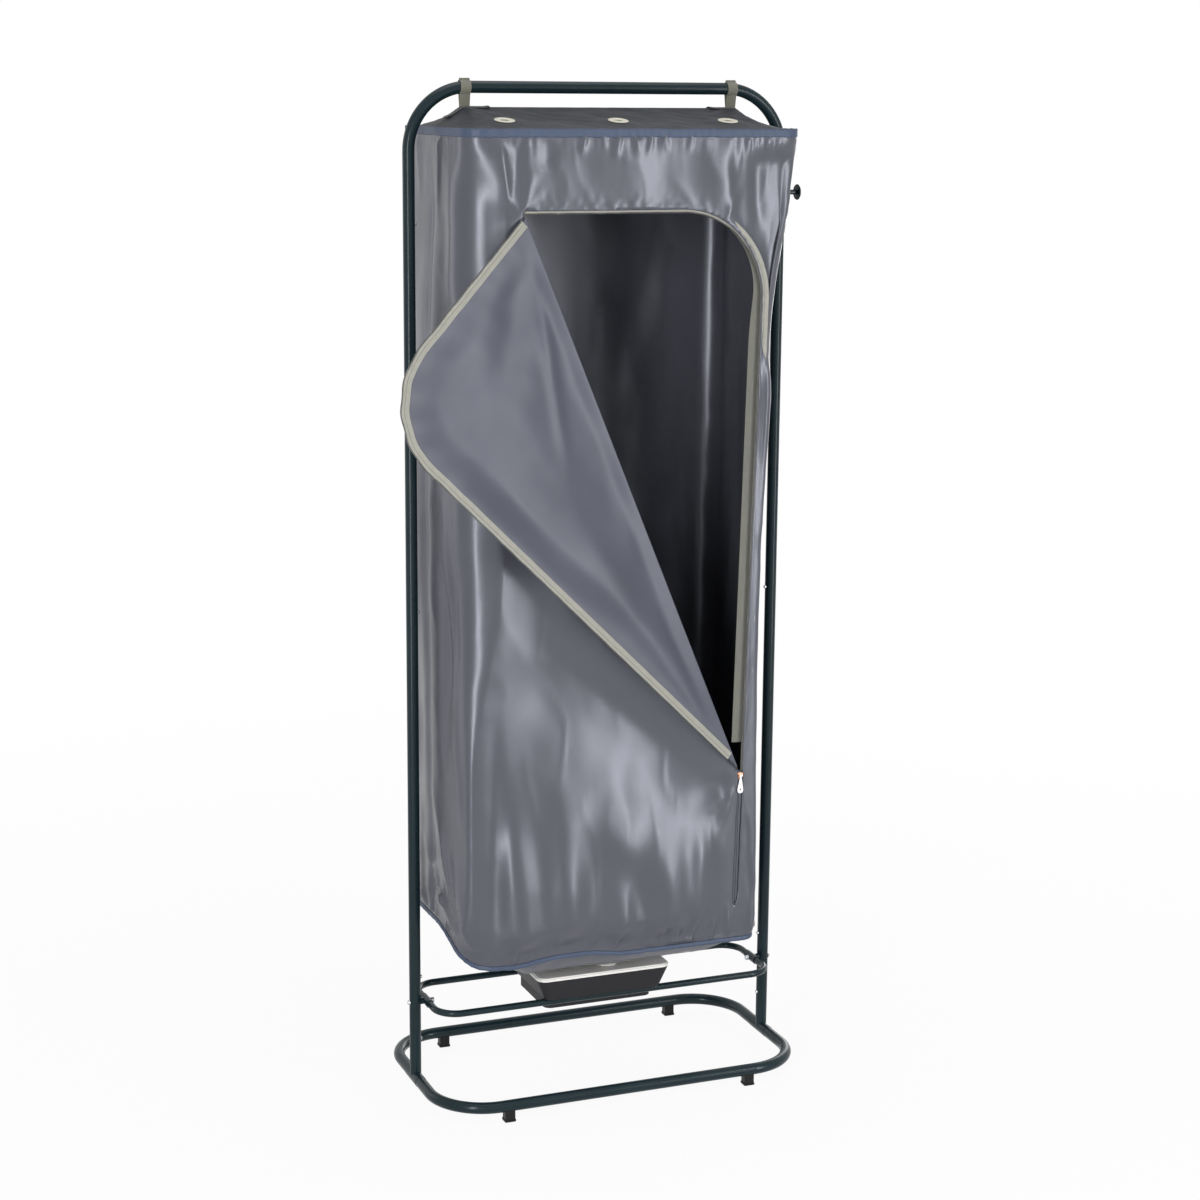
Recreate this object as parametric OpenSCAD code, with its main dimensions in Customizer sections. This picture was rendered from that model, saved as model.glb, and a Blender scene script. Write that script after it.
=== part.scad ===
// Heated clothes drying cabinet: a tube frame on a ring base, a hanging cloth bag with a
// zipped door, and a fan heater that rests on a shelf ring under the bag.
// The origin is on the floor, midway between the four feet. X runs from left to right,
// the door faces minus Y, and Z is up.

/* [Frame] */
// Height of the top rail above its joints with the uprights
top_h = 257; // [235:1:300]
// Distance between the middles of the two uprights
upright_gap = 668; // [650:2:760]
// Outside diameter of the frame tube
tube_d = 20; // [19:0.5:24]
// Wall of the frame tube
tube_wall = 1.2; // [1:0.1:1.6]
// Radius of the two top bends, to the middle of the tube
top_bend_r = 103; // [70:1:140]
// Height of each of the two long upright sections
section_len = 648; // [560:4:680]
// Length of the reduced tube end that enters the next section
spigot_len = 45; // [40:1:60]
// Radial gap between a reduced end and the tube around it
spigot_gap = 0.1; // [0.05:0.05:0.3]

/* [Base] */
// Depth of the base ring between the middles of its long bars
ring_depth = 358; // [300:2:420]
// Radius of the base ring's corners, to the middle of the tube
ring_corner_r = 97; // [60:1:120]
// Height of the foot blocks under the tube
foot_h = 16; // [12:1:30]
// Width and depth of a foot block
foot_w = 18; // [16:1:26]
// Distance from a bend of the ring to the middle of the foot beside it
foot_in = 13; // [11:1:60]
// Length of the tee's sleeve along the ring
tee_len = 60; // [50:2:90]
// How much wider the tee's sleeve is than the tube
tee_extra = 0.8; // [0.4:0.2:3]
// Height of the tee's top above the floor
tee_top = 102; // [90:1:120]
// Height of the leg section between tee and upright
leg_len = 80; // [70:1:120]

/* [Snap buttons] */
// Diameter of a snap button
button_d = 6; // [5:0.5:8]
// How far a button stands out of the tube
button_out = 3; // [2:0.25:3.5]
// Height of a button above its tube joint
button_up = 27; // [20:1:32]
// Gap around a button in its holes
button_gap = 0.15; // [0.1:0.05:0.3]

/* [Shelf ring] */
// Outside diameter of the shelf tube
shelf_tube_d = 12; // [10:1:14]
// Wall of the shelf tube
shelf_wall = 1; // [0.8:0.1:1.4]
// Depth of the shelf ring between the middles of its bars
shelf_depth = 162; // [150:2:180]
// Radius of the shelf ring's corners, to the middle of the tube
shelf_corner_r = 40; // [25:1:60]
// Height of the shelf ring's middle above the floor
shelf_z = 163.5; // [150:0.5:170]
// Room between the shelf joiner and the upright, filled by its boss
shelf_boss = 3.7; // [2:0.1:8]
// Diameter of the shelf bolts
bolt_d = 5; // [4:0.5:6]

/* [Side peg] */
// Height of the peg above the joint of the top rail
peg_up = 73; // [60:1:95]
// Diameter of the peg's shank
peg_d = 8.5; // [6:0.5:12]
// Length of the peg's shank
peg_len = 23; // [15:1:60]
// Diameter of the peg's end disc
peg_head_d = 27; // [20:1:40]

/* [Bag] */
// Distance from the middle of an upright to the bag's side, at its top edge
side_room = 40; // [36:1:54]
// Depth of the bag
bag_d = 344; // [320:2:400]
// Radius of the bag's upright corners
bag_corner_r = 35; // [25:1:50]
// Distance from the top of the frame down to the bag's top edge
bag_drop = 78; // [70:1:100]
// Rise of the tented roof from the top edge to its ridge
roof_rise = 35; // [30:1:50]
// Run of the roof's sloping ends beyond the ridge
hip_run = 50; // [40:1:60]
// Height of the hem above the floor at the front
hem_z = 280; // [265:1:320]
// How much higher the hem hangs at the back
hem_lift = 30; // [0:1:40]
// Thickness of the cloth, with its lining
cloth_t = 1.5; // [1.2:0.1:2]
// How far the loose front right corner is drawn in below the top
front_draw = 50; // [30:1:52]
// How far it is drawn in further down, beside the zip
low_draw = 8; // [0:1:9]
// Height over which that corner is drawn in
draw_len = 430; // [300:10:600]
// How far the side walls belly out
side_bulge = 14; // [0:1:16]
// Radius of the loose front right corner below the top
loose_corner_r = 8; // [5:1:12]
// Depth of the soft folds that rise from the hem
fold_depth = 8; // [3:0.5:12]
// Distance between those folds
fold_pitch = 88; // [70:2:140]
// Height of the binding on the top edge and the hem
binding_h = 13; // [10:1:18]
// Diameter of the wire hoop in the top edge
wire_d = 4; // [3:0.5:5]

/* [Door] */
// Distance from the bag's left side to the left end of the zip
door_left_in = 96; // [64:1:144]
// Distance from the bag's right side to the door, at the foot of its round corner
door_right_in = 73; // [71:1:94]
// Distance from the bag's top edge down to the door's top
door_top_drop = 131; // [100:1:180]
// Radius of the door's upper right corner
door_corner_r = 140; // [100:1:160]
// Lean of the door's right side towards the middle, in degrees
door_lean = 1.4; // [0.8:0.1:2]
// Height of the zip slider above the floor
slider_z = 565; // [540:1:760]
// Height of the lower end of the zip above the floor
zip_end_z = 344; // [330:1:400]
// Width of one side of the zip tape
tape_w = 16; // [12:0.5:20]
// Thickness of the zip tape
tape_t = 0.8; // [0.6:0.1:1.2]
// Width of one row of zip teeth
teeth_w = 2.4; // [2:0.1:3.5]
// Angle by which the open door is folded back over its crease
flap_open = 168; // [150:1:172]

/* [Roof straps and rail] */
// Distance from an end of the hanging rail to the middle of the webbing strap beside it
strap_in = 12; // [10:1:30]
// Width of the webbing
strap_w = 18; // [14:1:25]
// Thickness of the webbing
strap_t = 1.6; // [1.2:0.1:2.2]
// Outside diameter of the hanging rail inside the bag
rail_d = 16; // [14:1:18]
// Distance from the bag's side to the end of the hanging rail
rail_in = 44; // [40:1:50]
// Distance from the ridge of the roof down to the rail's middle
rail_drop = 18; // [17:1:24]
// Outside diameter of a roof eyelet
eyelet_d = 34; // [28:1:40]
// Diameter of the hole in an eyelet
eyelet_hole = 14; // [10:1:18]
// Distance between the eyelets
eyelet_pitch = 196; // [150:2:200]
// Distance from the ridge forward to the eyelets
eyelet_y = 103; // [60:1:110]

/* [Heater] */
// Width of the heater at its rim
heater_w = 247; // [230:1:260]
// Depth of the heater at its rim
heater_d = 204; // [200:1:220]
// Height of the tapered side above the shelf ring
heater_side_h = 37.5; // [32:0.5:40]
// How much narrower the sides are at their foot, at each end
taper_x = 16; // [10:0.5:20]
// How much shallower the sides are at their foot, front and back
taper_y = 8; // [4:0.5:12]
// Radius of the heater's upright corners
heater_corner_r = 16; // [12:0.5:25]
// Place of the heater along the shelf bars, measured from their middle
heater_x = -17; // [-40:1:20]
// Height of the part that hangs between the shelf bars
belly_h = 24; // [22:1:30]
// Wall of the heater's plastic shells
shell_t = 2.4; // [2:0.1:3]
// Outside diameter of the outlet collar
collar_d = 104; // [96:1:110]
// Height of the outlet collar above the cover
collar_h = 22; // [16:1:26]
// Place of the collar behind the heater's middle
collar_y = 30; // [24:1:34]
// Diameter of the control dial
dial_d = 38; // [30:1:42]
// Place of the dial to the right of the heater's middle
dial_x = 17; // [-20:1:30]
// Distance from the heater's front edge back to the middle of the dial
dial_in = 44; // [40:1:52]
// How far the heater can be lifted before the cloth above stops it
heater_lift = 10; // [5:1:12]

/* [Hidden] */
$fn = 64;
eps = 0.01;
slack = 0.3;
tube_id = tube_d - 2 * tube_wall;
spigot_d = tube_id - 2 * spigot_gap;
spigot_id = spigot_d - 2 * tube_wall;
upright_x = upright_gap / 2;
ring_z = foot_h + tube_d / 2;
leg_top = tee_top + leg_len;
mid_joint_z = leg_top + section_len;
top_joint_z = mid_joint_z + section_len;
frame_h = top_joint_z + top_h;
foot_x = upright_x - ring_corner_r - foot_in;
peg_z = top_joint_z + peg_up;
peg_stud_d = 5;
peg_stud_len = 8;
peg_disc_t = 3.4;
peg_lead = 0.6;
rail_bar_z = frame_h - tube_d / 2;
neck_len = 6;
foot_r = 2.5;
foot_sole_h = 3;
foot_sole_out = 1;
eyelet_shift = 9;

// Shelf ring
shelf_x = upright_x - tube_d / 2 - shelf_boss - joiner_d() / 2;
shelf_id = shelf_tube_d - 2 * shelf_wall;
shelf_top = shelf_z + shelf_tube_d / 2;
joiner_len = 40;
bolt_head_h = 3.2;

// Snap buttons and their leaf springs
button_dome = 1.5;
flange_t = 1;
flange_d = button_d + 2;
flange_r = sqrt(pow(spigot_id / 2, 2) - pow(flange_d / 2, 2)) - 0.25;
spring_t = 0.6;
spring_w = 4;
spring_len = 26;

// Bag
bag_w = upright_gap - 2 * side_room;
bag_top = frame_h - bag_drop;
ridge_z = bag_top + roof_rise;
front_y = -bag_d / 2;
back_y = bag_d / 2;
side_y = bag_d / 2 - bag_corner_r;
crease_y = -50;
crease_depth = 9;
crease_w = 14;
low_draw_drop = 307;
low_draw_len = 500;
loose_drop = 45;
loose_len = 150;
// The folds start below the slider and fade out over these lengths
fold_top_gap = 30;
fold_rise = 230;
fold_foot = 40;
fold_side = 40;
fold_zip_gap = 25;
fold_zip_fade = 60;
front_phase = 75;
side_phase = 20;
side_fold_share = 0.7;
back_fold_share = 0.6;
front_cols = 28;
side_cols = 18;
back_cols = 12;
wall_rows = 16;
roof_cols = 24;
roof_rows = 8;
binding_t = 1.4;
trim_gap = 0.15;
wire_gap = 1;
roof_in = 1;

// Door
door_top_z = bag_top - door_top_drop;
door_left_x = -bag_w / 2 + door_left_in;
door_right_x = bag_w / 2 - door_right_in;
corner_z = door_top_z - door_corner_r;
corner_x = door_right_x - door_corner_r;
cloth_back = 5.5;
tip_gap = 14;
fold_a = [door_left_x, door_top_z];
fold_b = [zip_x(slider_z), slider_z];
fold_dir = (fold_b - fold_a) / norm(fold_b - fold_a);
fold_axis_y = front_y;
fold_gap = 1.5;
tape_fold_gap = 9;

// Zip
chain_w = 2 * teeth_w;
chain_t = 2;
chain_gap = 0.2;
slider_w = 9;
slider_h = 13;
slider_t = 1.1;
slider_waist = 1;
slider_chamfer = 1.6;
bridge_d = 1.6;
bridge_w = 5.2;
bridge_up = 2;
ear_t = 1.6;
pull_w = 11;
pull_len = 32;
pull_t = 1.6;
pull_gap = 0.1;
pull_neck_w = 3.2;
pull_neck_len = 7;
pull_hole_d = 3;
tape_y = front_y + cloth_t + trim_gap + tape_t / 2;
bridge_y = tape_y - chain_t / 2 - chain_gap - slider_t - 2.2;
teeth_gap = 0.3;
post_w = 1.6;

// Straps and rail
rail_len = bag_w - 2 * rail_in;
strap_x = rail_len / 2 - strap_in;
rail_z = ridge_z - rail_drop;
rail_wall = 1;
stem_t = 2 * strap_t;
// How far the bending top bar has fallen at the outer edge of a strap
strap_run = max(0, strap_x + strap_w / 2 - upright_x + top_bend_r);
bar_fall = top_bend_r - sqrt(top_bend_r * top_bend_r - strap_run * strap_run);
patch_len = 74;
patch_in = 41;
patch_x = strap_x - patch_in;
patch_w = 22;
patch_t = 1.2;
strap_end_r = 2.6;
slot_h = 30;
slot_gap = 0.5;
apex_h = 4;
cap_t = 2.4;
plug_len = 10;
slope = atan(roof_rise / (bag_d / 2 - roof_in));

// Heater
heater_floor_z = shelf_top + slack;
rim_z = heater_floor_z + heater_side_h;
cover_t = 6;
cover_top = rim_z + cover_t;
belly_w = heater_w - 2 * taper_x - 14;
belly_d = shelf_depth - shelf_tube_d - 12;
collar_top = cover_top + collar_h;
fan_d = collar_d - 2 * shell_t - 10;
fan_z = heater_floor_z + shell_t + 1;
fan_h = 14;
blades = 7;
blade_t = 1.6;
blade_chord = 22;
blade_pitch = 38;
motor_d = 36;
motor_seat_d = 20;
motor_seat_h = 4;
shaft_d = 4;
hub_d = 30;
run_gap = 0.06;
element_z = fan_z + fan_h + 6;
element_h = 20;
element_wall = 2.5;
rib_t = 5;
rib_pitch = 12;
fin_t = 1;
fin_pitch = 11;
grille_h = 3;
grille_z = collar_top - 2 * grille_h;
grille_ring_w = 2.5;
grille_pitch = 7;
grille_hub_d = 18;
dial_y = heater_d / 2 - dial_in;
dial_h = 9;
dial_well = 1.2;
dial_base = cover_top - dial_well + slack;
flute_d = 5;
mark_len = 5;
mark_w = 1.2;
mark_deep = 0.5;
dial_top = dial_base + dial_h;
stem_d = 6;
opening_gap = 4;
timer_w = 42;
timer_d = 38;
timer_h = 22;
// Screws in the four corners, driven from below
screw_px = heater_w / 2 - taper_x - 14;
screw_py = heater_d / 2 - taper_y - 13;
boss_d = 10;
shank_d = 2.5;
shank_hole_d = 3.2;
head_d = 6;
head_h = 1.8;
// Air inlet slots in the belly
slot_w = 4;
slot_pitch = 11;
slots_each_side = 6;
slots_front = 14;
slots_back = 38;
// Inlet of the cord in the back wall
inlet_x = 70;
inlet_d = 12;
inlet_flange_d = 16;
cord_d = 7;

// A value that runs smoothly from 0 to 1
function smooth(t) = let(s = max(0, min(1, t))) s * s * (3 - 2 * s);
function joiner_d() = shelf_tube_d + 2.6;
function flat(rows) = [for (r = rows) for (p = r) p];
function backwards(list) = [for (i = [len(list) - 1:-1:0]) list[i]];

// Walls of the bag: v runs from the hem to the top edge, inset goes into the bag
function hem_at(y) = hem_z + hem_lift * smooth((y - front_y) / (bag_d / 2));
function wall_z(y, v) = hem_at(y) + (bag_top - hem_at(y)) * v;
// Rows lie closer together near the hem and near the top edge
function level(j) = let(s = (j - 1) / (wall_rows - 1), low = binding_h / (bag_top - hem_z))
  j == 0 ? 0 : low + (1 - low) * (0.35 * s + 0.65 * (1 - cos(180 * s)) / 2);
function front_right_x(z) = bag_w / 2 - front_draw * smooth((bag_top - z) / draw_len)
  - low_draw * smooth((bag_top - low_draw_drop - z) / low_draw_len);
function front_right_r(z) = bag_corner_r
  - (bag_corner_r - loose_corner_r) * smooth((bag_top - loose_drop - z) / loose_len);
// Soft folds that start above the hem's binding and fade out below the door
function rise(z, y) = smooth((slider_z - fold_top_gap - z) / fold_rise)
  * smooth((z - hem_at(y) - binding_h) / fold_foot);
function wave(s) = 0.5 - 0.5 * cos(360 * s / fold_pitch);
function front_fold(x, z) = fold_depth * rise(z, front_y) * wave(x + front_phase)
  * smooth((zip_x(z) - fold_zip_gap - x) / fold_zip_fade)
  * smooth((x + bag_w / 2 - bag_corner_r) / fold_side);
function side_fold(y, z) = side_fold_share * fold_depth * rise(z, y) * wave(y + side_phase)
  * smooth((side_y - abs(y)) / fold_side);
function back_fold(x, z) = back_fold_share * fold_depth * rise(z, back_y) * wave(x)
  * smooth((bag_w / 2 - bag_corner_r - abs(x)) / fold_side);
function front_point(u, v, inset) = let(
    z = wall_z(front_y, v),
    x0 = -bag_w / 2 + bag_corner_r,
    x = x0 + (front_right_x(z) - front_right_r(z) - x0) * u
  ) [x, front_y - front_fold(x, z) + inset, z];
function back_point(u, v, inset) = let(
    x1 = bag_w / 2 - bag_corner_r, x = x1 - 2 * x1 * u, z = wall_z(back_y, v)
  ) [x, back_y + back_fold(x, z) - inset, z];
// A side wall with its two corners; front_x and front_r describe the one at the front
function side_point(u, v, inset, front_x, front_r, crease) = let(
    r0 = front_r - inset,
    r1 = bag_corner_r - inset,
    t = max(0, min(1, (u - 1 / 3) * 3)),
    y0 = -bag_d / 2 + front_r,
    y = u < 1 / 3 ? y0 - r0 * cos(270 * u) : u > 2 / 3 ? side_y + r1 * sin(270 * u - 180)
      : y0 + (side_y - y0) * t,
    z = wall_z(y, v),
    side_x = front_x + (bag_w / 2 - front_x) * t,
    belly = side_bulge * sin(180 * t) * smooth(2.6 * (1 - v)) * smooth(4 * v) + side_fold(y, z)
      - crease * exp(-pow((y - crease_y) / crease_w, 2)) * smooth(6 * (1 - v)) * smooth(6 * v),
    x = u < 1 / 3 ? front_x - front_r + r0 * sin(270 * u)
      : u > 2 / 3 ? bag_w / 2 - bag_corner_r + r1 * cos(270 * u - 180) : side_x - inset + belly
  ) [x, y, z];
function right_point(u, v, inset) = let(z = wall_z(front_y, v))
  side_point(u, v, inset, front_right_x(z), front_right_r(z), 0);
function left_point(u, v, inset) = let(
    p = side_point(1 - u, v, inset, bag_w / 2, bag_corner_r, crease_depth)
  ) [-p[0], p[1], p[2]];
// The whole outline at one level, counted from the front left corner
function outline(v, inset) = concat(
  [for (i = [0:front_cols - 1]) front_point(i / front_cols, v, inset)],
  [for (i = [0:side_cols - 1]) right_point(i / side_cols, v, inset)],
  [for (i = [0:back_cols - 1]) back_point(i / back_cols, v, inset)],
  [for (i = [0:side_cols - 1]) left_point(i / side_cols, v, inset)]);
// The roof over the point (x, y)
function ridge_at(x) = roof_rise * min(1, (bag_w / 2 - abs(x)) / hip_run);
function roof_half(x) = let(r = bag_corner_r - roof_in, c = abs(x) - (bag_w / 2 - bag_corner_r))
  side_y + (c <= 0 ? r : sqrt(max(0, r * r - c * c)));
function roof_x(i) = (bag_w / 2 - roof_in) * (2 * i / roof_cols - 1);
function roof_z(x, y) = bag_top + ridge_at(x) * (1 - abs(y) / roof_half(x));

// Door outline in the front plane, as [x, z]; out moves it away from the opening
function zip_x(z) = door_right_x - (corner_z - z) * tan(door_lean);
function zip_path(out, low) = concat(
  [[door_left_x, door_top_z + out]],
  [for (a = [90:-6:0]) [corner_x + (door_corner_r + out) * cos(a),
    corner_z + (door_corner_r + out) * sin(a)]],
  [[zip_x(low) + out, low]]);
function beyond_fold(p) = (p - fold_a) * [-fold_dir[1], fold_dir[0]];

// A thin closed solid between two grids of points
module sheet(outer, inner) {
  n = len(outer);
  m = len(outer[0]);
  k = n * m;
  function quad(a, b, c, d) = [[a, b, c], [a, c, d]];
  faces = concat(
    [for (i = [0:n - 2]) for (j = [0:m - 2])
      for (f = quad(i * m + j, i * m + j + 1, (i + 1) * m + j + 1, (i + 1) * m + j)) f],
    [for (i = [0:n - 2]) for (j = [0:m - 2])
      for (f = quad(k + i * m + j, k + (i + 1) * m + j, k + (i + 1) * m + j + 1, k + i * m + j + 1)) f],
    [for (i = [0:n - 2]) for (f = quad(i * m, (i + 1) * m, k + (i + 1) * m, k + i * m)) f],
    [for (i = [0:n - 2]) for (f = quad(i * m + m - 1, k + i * m + m - 1,
      k + (i + 1) * m + m - 1, (i + 1) * m + m - 1)) f],
    [for (j = [0:m - 2]) for (f = quad(j, k + j, k + j + 1, j + 1)) f],
    [for (j = [0:m - 2]) for (f = quad((n - 1) * m + j, (n - 1) * m + j + 1,
      k + (n - 1) * m + j + 1, k + (n - 1) * m + j)) f]);
  polyhedron(points = concat(flat(outer), flat(inner)), faces = faces, convexity = 8);
}

// A closed ring swept through stations that each hold the same number of points
module loop_sweep(stations) {
  n = len(stations);
  m = len(stations[0]);
  faces = [for (i = [0:n - 1]) for (j = [0:m - 1]) let(
      a = i * m + j, b = i * m + (j + 1) % m,
      c = ((i + 1) % n) * m + (j + 1) % m, d = ((i + 1) % n) * m + j
    ) for (f = [[a, b, c], [a, c, d]]) f];
  polyhedron(points = flat(stations), faces = faces, convexity = 8);
}

// Tubes of the frame
module frame_colour() {
  color([0.18, 0.24, 0.27]) children();
}

// A straight tube section of the left upright, with holes for its snap buttons
module upright_section(z0, z1, low_hole, low_spigot) {
  difference() {
    translate([-upright_x, 0, z0]) union() {
      cylinder(h = z1 - z0, d = tube_d);
      translate([0, 0, z1 - z0 - neck_len]) cylinder(h = neck_len + spigot_len, d = spigot_d);
      if (low_spigot > 0) translate([0, 0, -low_spigot])
        cylinder(h = low_spigot + neck_len, d = spigot_d);
    }
    translate([-upright_x, 0, z0 - low_spigot - 1])
      cylinder(h = z1 - z0 + low_spigot + spigot_len + 2, d = spigot_id);
    if (low_spigot == 0) translate([-upright_x, 0, z0 - 1])
      cylinder(h = z1 - z0 - neck_len + 1, d = tube_id);
    if (low_hole) button_hole(z0 + button_up);
    button_hole(z1 + button_up);
  }
}

module button_hole(z) {
  translate([-upright_x, 0, z]) rotate([0, 90, 0])
    cylinder(h = tube_d, d = button_d + 2 * button_gap);
}

module cross_hole(z, d) {
  translate([-upright_x, 0, z]) rotate([0, 90, 0]) cylinder(h = 2 * tube_d, d = d, center = true);
}

module top_path(d, extra) {
  for (s = [-1, 1]) translate([s * upright_x, 0, top_joint_z - extra])
    cylinder(h = rail_bar_z - top_bend_r - top_joint_z + extra, d = d);
  for (s = [0, 1]) mirror([s, 0, 0])
    translate([upright_x - top_bend_r, 0, rail_bar_z - top_bend_r]) rotate([90, 0, 0])
      rotate_extrude(angle = 90) translate([top_bend_r, 0]) circle(d = d);
  translate([-upright_x + top_bend_r, 0, rail_bar_z]) rotate([0, 90, 0])
    cylinder(h = upright_gap - 2 * top_bend_r, d = d);
}

module top_rail() {
  frame_colour() difference() {
    top_path(tube_d, 0);
    top_path(tube_id, 1);
    for (s = [0, 1]) mirror([s, 0, 0]) button_hole(top_joint_z + button_up);
    translate([upright_x, 0, peg_z]) rotate([0, 90, 0]) cylinder(h = tube_d, d = peg_stud_d);
  }
}

module upper_upright_left() {
  frame_colour() upright_section(mid_joint_z, top_joint_z, true, 0);
}

module upper_upright_right() {
  mirror([1, 0, 0]) upper_upright_left();
}

module lower_upright_left() {
  frame_colour() upright_section(leg_top, mid_joint_z, true, 0);
}

module lower_upright_right() {
  mirror([1, 0, 0]) lower_upright_left();
}

leg_spigot = 26;
module leg_left() {
  frame_colour() difference() {
    upright_section(tee_top, leg_top, false, leg_spigot);
    cross_hole(shelf_z, bolt_d + 0.4);
    translate([-upright_x, 0, screw_z]) rotate([0, 90, 0]) cylinder(h = tube_d, d = screw_d);
  }
}

module leg_right() {
  mirror([1, 0, 0]) leg_left();
}

// Base: two U shaped halves that meet in a tee under each upright
screw_z = tee_top - 7;
screw_d = 4;
screw_head_d = 7;
ring_spigot = 22;

module base_tee_left() {
  frame_colour() difference() {
    union() {
      translate([-upright_x, 0, ring_z]) cylinder(h = tee_top - ring_z, d = tube_d);
      translate([-upright_x, 0, ring_z]) rotate([90, 0, 0])
        cylinder(h = tee_len, d = tube_d + tee_extra, center = true);
    }
    translate([-upright_x, 0, ring_z + tube_d / 2]) cylinder(h = tee_top - ring_z, d = tube_id);
    translate([-upright_x, 0, ring_z]) rotate([90, 0, 0])
      cylinder(h = tee_len + 2, d = tube_id, center = true);
    translate([-upright_x, 0, screw_z]) rotate([0, 90, 0])
      cylinder(h = tube_d, d = screw_d + 0.4);
  }
}

module base_tee_right() {
  mirror([1, 0, 0]) base_tee_left();
}

// The front half of a ring: two ends at y = -y_end, two corners and a long bar
module half_ring(x, y, r, z, d, y_end) {
  for (s = [0, 1]) mirror([s, 0, 0]) {
    translate([x, -y_end, z]) rotate([90, 0, 0]) cylinder(h = y - r - y_end, d = d);
    translate([x - r, -y + r, z]) rotate([0, 0, -90])
      rotate_extrude(angle = 90) translate([r, 0]) circle(d = d);
  }
  translate([-x + r, -y, z]) rotate([0, 90, 0]) cylinder(h = 2 * (x - r), d = d);
}

module base_ring_front() {
  spigot_y = tee_len / 2 - ring_spigot;
  frame_colour() difference() {
    union() {
      half_ring(upright_x, ring_depth / 2, ring_corner_r, ring_z, tube_d, tee_len / 2);
      for (s = [-1, 1]) translate([s * upright_x, -spigot_y, ring_z]) rotate([90, 0, 0])
        cylinder(h = ring_spigot + neck_len, d = spigot_d);
    }
    half_ring(upright_x, ring_depth / 2, ring_corner_r, ring_z, spigot_id, spigot_y - 1);
  }
}

module base_ring_rear() {
  mirror([0, 1, 0]) base_ring_front();
}

// Foot block: a rounded pad with a saddle that fits the underside of the tube
module foot(sx, sy) {
  color([0.07, 0.07, 0.08]) difference() {
    translate([sx * foot_x, sy * ring_depth / 2, 0]) union() {
      linear_extrude(height = foot_h + tube_d / 2 - 1) rounded_plan(foot_w, foot_w, foot_r);
      linear_extrude(height = foot_sole_h)
        rounded_plan(foot_w + 2 * foot_sole_out, foot_w + 2 * foot_sole_out, foot_r + 0.5);
    }
    translate([0, sy * ring_depth / 2, ring_z]) rotate([0, 90, 0])
      cylinder(h = upright_gap, d = tube_d + 2 * trim_gap, center = true);
  }
}

module rounded_plan(w, d, r) {
  square([w - 2 * r, d], center = true);
  square([w, d - 2 * r], center = true);
  for (x = [-1, 1]) for (y = [-1, 1]) translate([x * (w / 2 - r), y * (d / 2 - r)]) circle(r = r);
}

module foot_front_left() {
  foot(-1, -1);
}

module foot_front_right() {
  foot(1, -1);
}

module foot_rear_left() {
  foot(-1, 1);
}

module foot_rear_right() {
  foot(1, 1);
}

// Shelf ring
half_gap = bolt_d / 2 + 1;
boss_side_d = 11;
nut_d = 8.5;
nut_h = 5.5;
bolt_head_d = 9.5;

module shelf_ring_front() {
  frame_colour() difference() {
    half_ring(shelf_x, shelf_depth / 2, shelf_corner_r, shelf_z, shelf_tube_d, half_gap);
    half_ring(shelf_x, shelf_depth / 2, shelf_corner_r, shelf_z, shelf_id, half_gap - 1);
  }
}

module shelf_ring_rear() {
  mirror([0, 1, 0]) shelf_ring_front();
}

// A sleeve over the two shelf ends, with a boss that stands against the upright
module shelf_joiner() {
  difference() {
    union() {
      translate([-shelf_x, 0, shelf_z]) rotate([90, 0, 0])
        cylinder(h = joiner_len, d = joiner_d(), center = true);
      translate([-upright_x + tube_d / 2 - 1.5, 0, shelf_z]) rotate([0, 90, 0])
        cylinder(h = shelf_boss + 1.5 + joiner_d() / 2, d = boss_side_d);
    }
    translate([-upright_x, 0, shelf_z - tube_d])
      cylinder(h = 2 * tube_d, d = tube_d + 2 * trim_gap);
    translate([-shelf_x, 0, shelf_z]) rotate([90, 0, 0])
      cylinder(h = joiner_len + 2, d = shelf_tube_d + 2 * trim_gap, center = true);
    translate([-upright_x, 0, shelf_z]) rotate([0, 90, 0])
      cylinder(h = upright_x - shelf_x + joiner_d(), d = bolt_d + 0.4);
  }
}

module shelf_joiners() {
  frame_colour() for (s = [0, 1]) mirror([s, 0, 0]) shelf_joiner();
}

module shelf_bolt() {
  head_x = -upright_x - tube_d / 2 - trim_gap;
  nut_x = -shelf_x + joiner_d() / 2 + trim_gap;
  translate([head_x - bolt_head_h, 0, shelf_z]) rotate([0, 90, 0])
    cylinder(h = bolt_head_h, d1 = bolt_d + 1, d2 = bolt_head_d);
  translate([head_x - eps, 0, shelf_z]) rotate([0, 90, 0])
    cylinder(h = nut_x - head_x + 4, d = bolt_d);
  difference() {
    translate([nut_x, 0, shelf_z]) rotate([0, 90, 0]) cylinder(h = nut_h, d = nut_d);
    translate([nut_x - 1, 0, shelf_z]) rotate([0, 90, 0]) cylinder(h = nut_h - 0.4, d = bolt_d + 0.1);
  }
}

module shelf_bolts() {
  color([0.3, 0.32, 0.34]) for (s = [0, 1]) mirror([s, 0, 0]) shelf_bolt();
}

module tee_screws() {
  color([0.75, 0.76, 0.78]) for (s = [0, 1]) mirror([s, 0, 0])
    translate([-upright_x + tube_d / 2 + trim_gap, 0, screw_z]) rotate([0, 90, 0]) {
      cylinder(h = 1.8, d1 = screw_head_d, d2 = screw_head_d - 2.5);
      translate([0, 0, -tube_wall * 2 - 1.5]) cylinder(h = tube_wall * 2 + 1.6, d = screw_d - 0.1);
    }
}

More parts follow.
